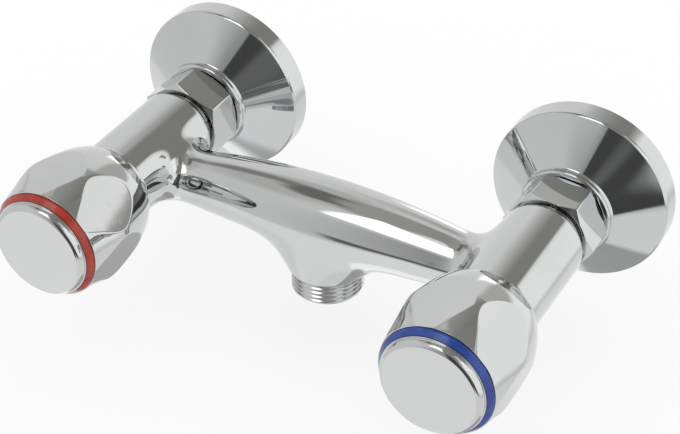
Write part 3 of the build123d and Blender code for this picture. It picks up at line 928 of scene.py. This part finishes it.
def outlet_liner():
    """From the skin of the boss, round its lower edge, down the thread, and up the bore to its round top."""
    angles = around(160)
    end_drop = axis_z - outlet_bottom
    root_r = outlet_thread_r - plated_thread * pipe_depth
    lip_r = outlet_thread_r - thread_chamfer
    rows = []

    def add_row(drop, half_length, half_depth):
        """One ring of points at a depth below the barrels' axes."""
        rows.append(np.stack([
            half_length * np.cos(angles),
            -bar_out - half_depth * np.sin(angles),
            axis_z - drop + 0 * angles,
        ], axis=-1))

    def add_boss_row(rise, inset):
        """One ring of the boss at a height above its lower end, drawn in by an inset."""
        half_length, half_depth = boss_size(axis_z - boss_end_drop + rise)
        add_row(boss_end_drop - rise, half_length - inset, half_depth - inset)

    add_boss_row(boss_edge + skin_gap, 0)
    for turn in np.linspace(0, pi / 2, 9):
        add_boss_row(boss_edge * (1 - sin(turn)), boss_edge * (1 - cos(turn)))
    add_row(boss_end_drop, root_r + thread_foot_gap, root_r + thread_foot_gap)
    for drop in np.arange(boss_end_drop + thread_foot, end_drop, outlet_thread_step):
        below = drop - boss_end_drop
        cut = plated_thread * thread_cut(below, angles, -mm, end_drop - boss_end_drop + mm)
        chamfer = max(drop - end_drop + thread_chamfer, 0)
        relief = min(max(relief_slope * (thread_chamfer - below), 0), relief_depth)
        radius = outlet_thread_r - np.maximum(cut, max(chamfer, relief))
        add_row(drop, radius, radius)
    bore_rows = [
        (end_drop, lip_r),
        (end_drop, lip_r - outlet_lip),
        (end_drop, outlet_bore_r + outlet_bore_edge),
        (end_drop - outlet_bore_edge, outlet_bore_r),
    ]
    for turn in np.linspace(0, dome_end_turn, 8):
        bore_rows.append((outlet_bore_top + outlet_bore_dome * (1 - sin(turn)), outlet_bore_r * cos(turn)))
    for drop, radius in bore_rows:
        add_row(drop, radius, radius)
    return np.stack(rows)


hose_outlet = outlet_liner()
print("rows and columns of the outlet's liner:", hose_outlet.shape[:2])

# %% [markdown]
# ## The finished body
# The ring of each liner and the loop of the skin have different counts of points, so a strip of triangles
# bridges them. Both lie on the same surface, and each keeps the normals of its own formula, so the seam
# can't be seen. A closed body has no open edge left, and their count is printed as a test.

# %% The finished body
def mixer_body():
    """Skin, two barrel liners and the outlet liner, bridged into one closed surface with its normals."""
    whole = bmesh.new()
    whole.from_mesh(skin)
    skin_count = len(whole.verts)
    open_edges = [edge for edge in whole.edges if edge.is_boundary]
    liner_normals = []

    def bridge(ring, test):
        """Joins a liner's ring to the open edges of the skin whose middle passes a test."""
        near = [edge for edge in open_edges if test((edge.verts[0].co + edge.verts[1].co) / 2)]
        bmesh.ops.bridge_loops(whole, edges=near + ring)

    for water, side in sides.items():
        (front_ring, back_ring), normals = add_grid(whole, barrel_liners[water])
        liner_normals.append(normals)
        bridge(front_ring, lambda at: at.x * side > 0 and -at.y > skin_cut_front - skin_gap)
        bridge(back_ring, lambda at: at.x * side > 0 and -at.y < skin_cut_back + skin_gap)
    (boss_ring, _), normals = add_grid(whole, hose_outlet, end_pole=True)
    liner_normals.append(normals)
    bridge(boss_ring, lambda at: at.z < axis_z - skin_cut_drop + skin_gap)
    bmesh.ops.recalc_face_normals(whole, faces=whole.faces)
    still_open = sum(edge.is_boundary for edge in whole.edges)
    mesh = bpy.data.meshes.new("mixer_casting")
    whole.to_mesh(mesh)
    whole.free()
    slope = field_slope(mesh_points(mesh)[:skin_count])
    skin_normals = slope / np.linalg.norm(slope, axis=-1, keepdims=True)
    piece = smooth_piece(mesh, np.vstack([skin_normals, *liner_normals]))
    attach(piece, "mixer")
    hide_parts("mixer_body")
    print("body:", len(mesh.polygons), "faces,", still_open, "open edges")
    return piece


body = mixer_body()

# %% [markdown]
# ## Shader maths as expressions
# A finish is a small calculation that Blender repeats at every point of a surface. Drawn node by node it is
# hard to read, so one class wraps the output of a node and turns sums, products, powers and absolute values
# into Math nodes. After that a finish reads like a formula.

# %% Shader maths as expressions
class Signal:
    """An output of a node. A sum or product with another signal, or with a number, adds a Math node."""

    def __init__(self, board, socket):
        self.board = board
        self.socket = socket

    def maths(self, operation, *others, first=None):
        """One Math node with this signal as its first value, or as its second where another comes first."""
        values = [self, *others] if first is None else [first, self]
        return self.board.add("ShaderNodeMath", {"operation": operation}, dict(enumerate(values)))["Value"]

    def __add__(self, other):
        return self.maths("ADD", other)

    def __radd__(self, other):
        return self.maths("ADD", other)

    def __sub__(self, other):
        return self.maths("SUBTRACT", other)

    def __rsub__(self, other):
        return self.maths("SUBTRACT", first=other)

    def __mul__(self, other):
        return self.maths("MULTIPLY", other)

    def __rmul__(self, other):
        return self.maths("MULTIPLY", other)

    def __pow__(self, other):
        return self.maths("POWER", other)

    def __abs__(self):
        return self.maths("ABSOLUTE")


print("a signal can be added, subtracted, multiplied, raised to a power and made positive")

# %% [markdown]
# ## A board of nodes
# All other nodes come from one method, which takes a node's type, its settings and what its sockets get. The
# settings come first, because they decide which sockets a node has. What the finishes use again and again
# has a short method of its own: a smooth rise, a blend of colours, and two kinds of noise.

# %% A board of nodes
class Board:
    """A node tree that is filled one node at a time."""

    def __init__(self, tree):
        self.tree = tree
        tree.nodes.clear()

    def add(self, kind, settings=None, sockets=None):
        """Adds a node: first its settings, then a value or a signal for each named or numbered socket."""
        node = self.tree.nodes.new(kind)
        for name, value in (settings or {}).items():
            setattr(node, name, value)
        for name, value in (sockets or {}).items():
            open_sockets = [socket for socket in node.inputs if socket.enabled]
            names = [socket.name for socket in open_sockets]
            socket = open_sockets[name if isinstance(name, int) else names.index(name)]
            if isinstance(value, Signal):
                self.tree.links.new(value.socket, socket)
            else:
                socket.default_value = value
        return {output.name: Signal(self, output) for output in node.outputs if output.enabled}

    def rise(self, signal, start, end):
        """0 below start, 1 above end, and a smooth rise between them."""
        return self.add(
            "ShaderNodeMapRange",
            {"interpolation_type": "SMOOTHSTEP"},
            {"Value": signal, "From Min": start, "From Max": end},
        )["Result"]

    def blend(self, share, first, second):
        """The first colour where share is 0 and the second where it is 1."""
        return self.add(
            "ShaderNodeMix",
            {"data_type": "RGBA", "clamp_factor": True},
            {"Factor": share, "A": first, "B": second},
        )["Result"]

    def dot(self, vector, direction):
        """How far a vector goes in a direction."""
        return self.add(
            "ShaderNodeVectorMath",
            {"operation": "DOT_PRODUCT"},
            {0: vector, 1: direction},
        )["Value"]

    def stretched(self, point, factors):
        """The point with each of its coordinates multiplied by its own factor."""
        return self.add(
            "ShaderNodeVectorMath",
            {"operation": "MULTIPLY"},
            {0: point, 1: factors},
        )["Vector"]

    def noise(self, point, size, detail=2.0, roughness=0.5):
        """Cloudy values about 0.5, whose largest clouds have the given size in metres."""
        return self.add(
            "ShaderNodeTexNoise",
            {},
            {"Vector": point, "Scale": 1 / size, "Detail": detail, "Roughness": roughness},
        )["Fac"]

    def rings(self, radius, width, detail=3.0):
        """Noise that depends only on a radius, as fine turned rings have."""
        return self.add(
            "ShaderNodeTexNoise",
            {"noise_dimensions": "1D"},
            {"W": radius, "Scale": 1 / width, "Detail": detail, "Roughness": 0.6},
        )["Fac"]


board_methods = [name for name in vars(Board) if not name.startswith("_")]
print("methods of a board:", ", ".join(board_methods))

# %% [markdown]
# ## The start and the end of a finish
# Every finish starts from the place on the surface and ends in a bump and a Principled shader. Turned
# pieces also need the distance from their own axis. The two barrels mirror each other, so the distance from
# the nearer axis serves both sides.

# %% The start and the end of a finish
def start_finish(name):
    """A new material with its empty board and the place on the surface, in metres."""
    material = bpy.data.materials.new(name)
    material.use_nodes = True
    board = Board(material.node_tree)
    return material, board, board.add("ShaderNodeTexCoord")["Object"]


def end_finish(board, height, depth, **sockets):
    """Closes a board with a bump of the given depth in metres and a Principled shader."""
    normal = board.add("ShaderNodeBump", {}, {"Strength": 1.0, "Distance": depth, "Height": height})["Normal"]
    values = {name.replace("_", " "): value for name, value in sockets.items()}
    shader = board.add("ShaderNodeBsdfPrincipled", {}, {**values, "Normal": normal})["BSDF"]
    board.add("ShaderNodeOutputMaterial", {}, {"Surface": shader})


def turning_radius(board, point):
    """Distance from the centre line of the nearer barrel: the length of (|x| - its x, z - its z)."""
    parts = board.add("ShaderNodeSeparateXYZ", {}, {"Vector": point})
    across = abs(parts["X"]) - axis_x
    upwards = parts["Z"] - axis_z
    return (across * across + upwards * upwards) ** 0.5


finishes = {}
print("finishes are made for Blender", bpy.app.version_string)

# %% [markdown]
# ## Chrome
# Chrome plate is a mirror of about six tenths. What keeps it from looking like a computer's mirror is small:
# the plate follows the slow swell of the polished metal below it, wiping leaves a faint haze in patches, and
# the last polishing leaves hair lines. Spun and turned pieces have those lines round their axis. All of it is
# in micrometres, because a mirror shows a slope of a tenth of a degree. The hose thread wasn't polished, so
# below the boss the plate is duller. Noise at real sizes does all this without unwrapping the pieces.

# %% Chrome
micron = 1e-6


def chrome(slot, light, dark, gloss, swell_depth, line_depth, dull_below=-1.0):
    """Plate with a slow swell, patches of haze, hair lines round the nearer barrel and a duller lower end."""
    material, board, point = start_finish(slot)
    height_up = board.add("ShaderNodeSeparateXYZ", {}, {"Vector": point})["Z"]
    dull = board.rise(height_up, dull_below, dull_below - 0.4 * mm)
    swell = board.noise(point, 11 * mm, detail=1.0)
    cloud = board.noise(point, 26 * mm, detail=3.0)
    haze = board.rise(board.noise(point, 5 * mm, detail=5.0, roughness=0.62), 0.50, 0.78)
    specks = board.rise(board.noise(point, 0.55 * mm, detail=1.0), 0.74, 0.80)
    lines = board.rings(turning_radius(board, point), 0.16 * mm)
    colour = board.blend(board.rise(cloud, 0.3, 0.7) * 0.7 + lines * 0.3, dark, light)
    height = swell + lines * (line_depth / swell_depth) + specks * 0.05
    end_finish(
        board, height, swell_depth,
        Base_Color=colour,
        Metallic=1.0,
        Roughness=gloss + haze * 0.035 + lines * 0.012 + specks * 0.10 + dull * 0.13,
    )
    finishes[slot] = material


chrome(
    "body_chrome", (0.615, 0.620, 0.620, 1), (0.575, 0.585, 0.585, 1),
    gloss=0.030, swell_depth=9 * micron, line_depth=0.12 * micron, dull_below=axis_z - boss_end_drop,
)
chrome(
    "flange_chrome", (0.610, 0.620, 0.625, 1), (0.575, 0.585, 0.590, 1),
    gloss=0.028, swell_depth=7 * micron, line_depth=0.25 * micron,
)
chrome(
    "nut_chrome", (0.605, 0.610, 0.610, 1), (0.560, 0.570, 0.570, 1),
    gloss=0.035, swell_depth=6 * micron, line_depth=0.20 * micron,
)
chrome(
    "knob_chrome", (0.620, 0.625, 0.620, 1), (0.580, 0.590, 0.590, 1),
    gloss=0.028, swell_depth=6 * micron, line_depth=0.12 * micron,
)
chrome(
    "cap_chrome", (0.620, 0.630, 0.630, 1), (0.595, 0.605, 0.605, 1),
    gloss=0.045, swell_depth=5 * micron, line_depth=0.35 * micron,
)
print("chrome:", ", ".join(finishes))

# %% [markdown]
# ## Coloured rings
# The rings are moulded in one glossy colour. The gloss is a clear skin over the colour, slightly uneven as
# moulded plastic is, and dust and wiping dull it in places. The colour itself is a little deeper in clouds,
# and shade is painted into it where the ring meets knob and cap: the colour is darker at both seams.

# %% Coloured rings
def ring_plastic(slot, colour, deep, seam):
    """Moulded gloss: a colour with deeper clouds, painted shade at both seams, an uneven skin and some dust.
    """
    material, board, point = start_finish(slot)
    out = board.add("ShaderNodeSeparateXYZ", {}, {"Vector": point})["Y"] * -1
    # Painted shade: these two masks darken the colour towards the seams at the knob and at the cap.
    shade_at_knob_seam = board.rise(out, knob_front + 1.0 * mm, knob_front + 0.4 * mm)
    shade_at_cap_seam = board.rise(out, ring_front - 0.9 * mm, ring_front - 0.1 * mm)
    cloud = board.noise(point, 4 * mm, detail=3.0)
    peel = board.noise(point, 0.7 * mm)
    dust = board.rise(board.noise(point, 0.3 * mm), 0.66, 0.74)
    moulded = board.blend(board.rise(cloud, 0.35, 0.7), deep, colour)
    end_finish(
        board, peel + dust * 0.3, 4 * micron,
        Base_Color=board.blend((shade_at_knob_seam + shade_at_cap_seam) * 0.75, moulded, seam),
        Roughness=0.16 + 0.10 * cloud + 0.2 * dust,
        IOR=1.52,
        Coat_Weight=0.2 - 0.1 * dust,
        Coat_Roughness=0.06,
    )
    finishes[slot] = material


# The third colour of each ring is the painted shade at its seams.
ring_plastic("hot_ring_red", (0.41, 0.030, 0.010, 1), (0.30, 0.016, 0.006, 1), (0.18, 0.008, 0.004, 1))
ring_plastic("cold_ring_blue", (0.007, 0.055, 0.32, 1), (0.004, 0.034, 0.23, 1), (0.003, 0.018, 0.12, 1))
print("rings:", ", ".join(list(finishes)[-2:]))

# %% [markdown]
# ## Turned metal inside
# The working pieces are turned brass and steel. A lathe leaves fine rings round the axis, so their bump and
# gloss read the radius from the barrel's centre line. Brass that meets water darkens in clouds, and the
# spring steel of the circlip is grey from its phosphate coat, with a fine crystal grain.

# %% Turned metal inside
def turned_metal(slot, bright, dull, gloss, ring_width, ring_depth, tarnish):
    """Lathe rings in bump, gloss and colour, under clouds of tarnish."""
    material, board, point = start_finish(slot)
    radius = turning_radius(board, point)
    rings = board.rings(radius, ring_width)
    along = board.noise(board.stretched(point, (0.15, 1, 0.15)), ring_width, detail=3.0)
    cloud = board.rise(board.noise(point, 6 * mm, detail=4.0, roughness=0.6), 0.42, 0.72)
    pits = board.rise(board.noise(point, 0.4 * mm), 0.70, 0.78)
    share = cloud * tarnish + (1 - rings) * 0.25
    end_finish(
        board, rings + along - pits * 0.6, ring_depth,
        Base_Color=board.blend(share, bright, dull),
        Metallic=1.0,
        Roughness=gloss + 0.10 * rings + 0.16 * cloud + 0.2 * pits,
    )
    finishes[slot] = material


brass = (0.78, 0.56, 0.26, 1)
turned_metal(
    "union_brass", brass, (0.48, 0.31, 0.13, 1),
    gloss=0.20, ring_width=0.22 * mm, ring_depth=5 * micron, tarnish=0.75,
)
turned_metal(
    "bush_brass", brass, (0.58, 0.38, 0.16, 1),
    gloss=0.16, ring_width=0.15 * mm, ring_depth=3 * micron, tarnish=0.50,
)
turned_metal(
    "headwork_brass", brass, (0.56, 0.37, 0.16, 1),
    gloss=0.18, ring_width=0.18 * mm, ring_depth=4 * micron, tarnish=0.55,
)
turned_metal(
    "spindle_brass", (0.82, 0.60, 0.29, 1), (0.62, 0.42, 0.19, 1),
    gloss=0.13, ring_width=0.12 * mm, ring_depth=3 * micron, tarnish=0.40,
)
turned_metal(
    "stainless_screw", (0.56, 0.55, 0.53, 1), (0.42, 0.41, 0.40, 1),
    gloss=0.14, ring_width=0.12 * mm, ring_depth=2 * micron, tarnish=0.25,
)
turned_metal(
    "spring_steel", (0.16, 0.16, 0.17, 1), (0.07, 0.07, 0.075, 1),
    gloss=0.34, ring_width=0.30 * mm, ring_depth=6 * micron, tarnish=0.70,
)
print("turned metal:", ", ".join(list(finishes)[-6:]))

# %% [markdown]
# ## Rubber and fibre
# Washers and O-rings are smooth black rubber with a bloom of grey powder. The gaskets are pressed from red
# fibre, whose short hairs lie flat and cross each other: two noises, stretched in different directions.

# %% Rubber and fibre
def rubber(slot):
    """Black rubber with a grey bloom in patches and a fine moulded grain."""
    material, board, point = start_finish(slot)
    bloom = board.rise(board.noise(point, 3 * mm, detail=5.0, roughness=0.65), 0.48, 0.75)
    grain = board.noise(point, 0.12 * mm)
    end_finish(
        board, grain, 6 * micron,
        Base_Color=board.blend(bloom, (0.012, 0.012, 0.013, 1), (0.045, 0.045, 0.048, 1)),
        Roughness=0.42 + 0.28 * bloom + 0.08 * grain,
    )
    finishes[slot] = material


def fibre(slot):
    """Pressed fibre: crossing hairs of lighter and darker red."""
    material, board, point = start_finish(slot)
    one_way = board.noise(board.stretched(point, (1, 0.2, 0.12)), 0.16 * mm, detail=3.0)
    other_way = board.noise(board.stretched(point, (0.12, 0.2, 1)), 0.16 * mm, detail=3.0)
    hairs = one_way.maths("MAXIMUM", other_way)
    cloud = board.noise(point, 4 * mm, detail=3.0)
    share = board.rise(hairs + 0.3 * cloud, 0.5, 0.95)
    end_finish(
        board, hairs, 30 * micron,
        Base_Color=board.blend(share, (0.085, 0.030, 0.022, 1), (0.19, 0.085, 0.062, 1)),
        Roughness=0.70 + 0.2 * cloud,
    )
    finishes[slot] = material


rubber("black_rubber")
fibre("fibre_gasket")
print("rubber and fibre:", ", ".join(list(finishes)[-2:]))

# %% [markdown]
# ## Dressing the pieces
# The record names a slot for every node, and each slot now has its finish. New pieces take theirs by list,
# and the nodes that keep their solids get the same finishes in their own material slots.

# %% Dressing the pieces
new_pieces = {
    "body_chrome": [body],
    "flange_chrome": flanges,
    "nut_chrome": nuts,
    "knob_chrome": knobs,
    "cap_chrome": caps,
    "hot_ring_red": rings[:1],
    "cold_ring_blue": rings[1:],
    "union_brass": unions,
}
for slot, pieces in new_pieces.items():
    for piece in pieces:
        piece.data.materials.append(finishes[slot])
for row in frame["record"]["subparts"]:
    for material_slot in frame["nodes"][row["node"]].material_slots:
        material_slot.material = finishes[row["material_slot"]]

# %% [markdown]
# ## Directions in the studio
# Chrome has no colour of its own: it shows the room. Walls and lamps could be built as objects, but a room
# that the world draws by direction adds no noise to a mirror, and its parts can be placed to a degree. A
# direction has an azimuth, 0 straight out of the wall and growing towards +X, and a height above the
# horizon. The azimuth is the arc tangent of x over -y, and the height is the arc sine of z.

# %% Directions in the studio
world = bpy.data.worlds.new("studio")
world.use_nodes = True
bpy.context.scene.world = world
room = Board(world.node_tree)
ray = room.add("ShaderNodeTexCoord")["Generated"]
ray_parts = room.add("ShaderNodeSeparateXYZ", {}, {"Vector": ray})
degree = 180 / pi
ray_turn = ray_parts["X"].maths("ARCTAN2", 0 - ray_parts["Y"]) * degree
ray_lift = ray_parts["Z"].maths("ARCSINE") * degree


def part_of_tent(turns, lifts, softness, leans):
    """1 between two azimuths and two heights, in degrees: the product of a soft rise at each of four edges.

    The softness is given sideways and upwards, and the leans slant the left and the right edge.
    """
    left = room.rise(ray_turn + leans[0] * ray_lift, turns[0] - softness[0], turns[0] + softness[0])
    right = room.rise(ray_turn + leans[1] * ray_lift, turns[1] + softness[0], turns[1] - softness[0])
    bottom = room.rise(ray_lift, lifts[0] - softness[1], lifts[0] + softness[1])
    top = room.rise(ray_lift, lifts[1] + softness[1], lifts[1] - softness[1])
    return left * right * bottom * top


def round_part(turn, lift, reach, softness):
    """1 within so many degrees of one direction: the arc cosine of the dot product is the angle to it."""
    turn, lift = radians(turn), radians(lift)
    middle = (sin(turn) * cos(lift), -cos(turn) * cos(lift), sin(lift))
    angle = room.dot(ray, middle).maths("ARCCOSINE") * degree
    return room.rise(angle, reach + softness, reach - softness)


def grey(level, warmth=0.0):
    """A grey colour of a level, made warmer by taking away from its blue."""
    return (level * (1 + 0.3 * warmth), level * (1 + 0.4 * warmth), level * (1 - warmth), 1)


print("half grey, a little warm:", [round(value, 3) for value in grey(0.5, 0.05)])

# %% [markdown]
# ## The tent
# The picture was taken in a white tent on a white table. The tent has a bright right wall, a left wall with
# a seam that falls into shade, grey corners behind and a dim warm roof with a beam below it. A soft lamp with
# a glow above it hangs high on the left, and the camera with its tripod stands in a dark gap. The table has
# a pool of light and the shadow of the mixer. Each part lies between two azimuths and two heights, with soft
# edges, and is laid over the parts before it. A row gives the azimuths, the heights, the softness sideways
# and upwards, the leans of both sides, and the colour.

# %% The tent
tent = room.blend(room.rise(ray_lift, -28, -24), grey(0.94), grey(0.81))
roof = room.blend(room.rise(ray_parts["X"], -0.4, 0.5), grey(0.45, 0.05), grey(0.24, 0.06))
upright = (0, 0)
tent_parts = {
    "bright table in front": ((-50, -4), (-80, -26), (8, 3), upright, grey(1.04)),
    "bright back of the left wall": ((-200, -130), (-40, 48), (7, 8), upright, grey(0.90)),
    "left wall dimmer below the roof": ((-150, -45), (47, 80), (12, 6), upright, grey(0.62, 0.02)),
    "seam in the left wall": ((-118, -105), (4, 64), (5, 6), upright, grey(0.52, 0.03)),
    "seam in shade": ((-124, -103), (42, 64), (6, 5), upright, grey(0.30, 0.03)),
    "left wall falling into shade": ((-18, 70), (-22, 33), (19, 4), upright, grey(0.39)),
    "foot of the shade": ((-23, 4), (-21, -14), (2, 1.5), upright, grey(0.16)),
    "right wall": ((41, 200), (-19, 28), (3, 5), (0.5, 0), grey(1.16)),
    "ledge of the right wall": ((123, 131), (20.5, 24.33), (1, 0.12), upright, grey(0.40, 0.03)),
    "roof": ((-200, 200), (63, 100), (1, 2.5), upright, roof),
    "shade above the camera": ((-2, 58), (33, 66), (3, 4), upright, grey(0.32, 0.04)),
    "grey corner behind": ((165, 200), (9, 63), (4, 4), (0.45, 0), grey(0.56, 0.04)),
    "grey corner behind, other half": ((-200, -175), (9, 63), (4, 4), upright, grey(0.56, 0.04)),
    "left wall falling into the corner": ((-230, -162), (31, 49), (22, 4), upright, grey(0.42, 0.05)),
    "dim corner on the right": ((104, 182), (30, 66), (14, 2), upright, grey(0.30, 0.06)),
    "soft light on the right": ((50, 109), (26, 48), (3, 2), upright, grey(1.32)),
    "dark gap at the camera": ((-3, 40), (-22.5, 34), (1.5, 1.5), (-0.15, 0.5), grey(0.075)),
    "foot of the dark gap": ((-6, 13), (-30, 0), (2, 1.5), upright, grey(0.075)),
    "tripod in the gap": ((20, 31), (-12, 26), (3, 6), (0.2, 0.3), grey(0.17)),
    "beam below the roof": ((-122, -60), (60, 69), (5, 2.5), upright, grey(0.20, 0.05)),
    "strip of light behind": ((-176, -163), (-9, 14), (2, 2), upright, grey(1.70)),
    "glow above the lamp": ((-26, 8), (66, 80), (10, 5), upright, grey(1.05)),
    "soft lamp": ((-17.5, 0), (38.5, 69.5), (2, 1.5), (0.3, 0), grey(2.00)),
    "pool of light on the table": ((-138, -46), (-81, -67), (5, 2), upright, grey(1.30)),
}
for turns, lifts, softness, leans, colour in tent_parts.values():
    tent = room.blend(part_of_tent(turns, lifts, softness, leans), tent, colour)
round_parts = {
    "shadow of the mixer on the table": (130, -78, 22, 3, grey(0.48)),
    # Painted shadow: the mixer's own shadow on the table near the wall, drawn darker into the tent.
    "shadow of the mixer at the foot of the wall": (180, -61, 12, 5, grey(0.52)),
}
for turn, lift, reach, softness, colour in round_parts.values():
    tent = room.blend(round_part(turn, lift, reach, softness), tent, colour)
print("parts of the tent:", ", ".join([*tent_parts, *round_parts]))

# %% [markdown]
# ## Light for mirrors and for the rest
# The world shows the tent only to rays that come off a mirror or through glass. Every other ray meets plain
# white at strength 1, so colours render as they are written and the background stays white.

# %% Light for mirrors and for the rest
path = room.add("ShaderNodeLightPath")
in_mirror = path["Is Glossy Ray"].maths("MAXIMUM", path["Is Transmission Ray"])
plain_white = room.add("ShaderNodeBackground", {}, {"Color": grey(1.0), "Strength": 1.0})["Background"]
drawn_tent = room.add("ShaderNodeBackground", {}, {"Color": tent, "Strength": 1.0})["Background"]
mixed = room.add("ShaderNodeMixShader", {}, {0: in_mirror, 1: plain_white, 2: drawn_tent})["Shader"]
room.add("ShaderNodeOutputWorld", {}, {"Surface": mixed})
print("nodes of the studio:", len(world.node_tree.nodes))

# %% [markdown]
# ## The floor
# A pale floor lies below the mixer and reaches far out of sight. Mirrors don't see it, because the tent
# already has its table, and the camera sees it white, apart from the soft shadow that the mixer leaves. Most
# of that white is a glow that no shadow reaches, so a larger share of glow gives a fainter shadow.

# %% The floor
floor_height = -45 * mm
floor_half = 6.0
floor_level = 0.97
floor_glow = 0.78
floor_mesh = bpy.data.meshes.new("floor")
corners = [(x * floor_half, y * floor_half, floor_height) for x, y in ((-1, -1), (1, -1), (1, 1), (-1, 1))]
floor_mesh.from_pydata(corners, [], [(0, 1, 2, 3)])
floor = bpy.data.objects.new("floor", floor_mesh)
bpy.context.scene.collection.objects.link(floor)
floor.visible_glossy = False
floor_finish = bpy.data.materials.new("pale_floor")
floor_finish.use_nodes = True
paint = Board(floor_finish.node_tree)
ray_kinds = paint.add("ShaderNodeLightPath")
seen_plainly = ray_kinds["Is Camera Ray"]
for kind in ("Is Glossy Ray", "Is Transmission Ray"):
    seen_plainly = seen_plainly.maths("MAXIMUM", ray_kinds[kind])
matt = paint.add("ShaderNodeBsdfDiffuse", {}, {"Color": grey(floor_level)})["BSDF"]
glow = paint.add("ShaderNodeEmission", {}, {"Color": grey(1.0), "Strength": 1.0})["Emission"]
surface = paint.add("ShaderNodeMixShader", {}, {0: seen_plainly * floor_glow, 1: matt, 2: glow})["Shader"]
paint.add("ShaderNodeOutputMaterial", {}, {"Surface": surface})
floor_mesh.materials.append(floor_finish)

scene_view = bpy.context.scene.view_settings
scene_view.view_transform = "Standard"
print("floor at, mm:", round(floor_height / mm, 1))

# %% [markdown]
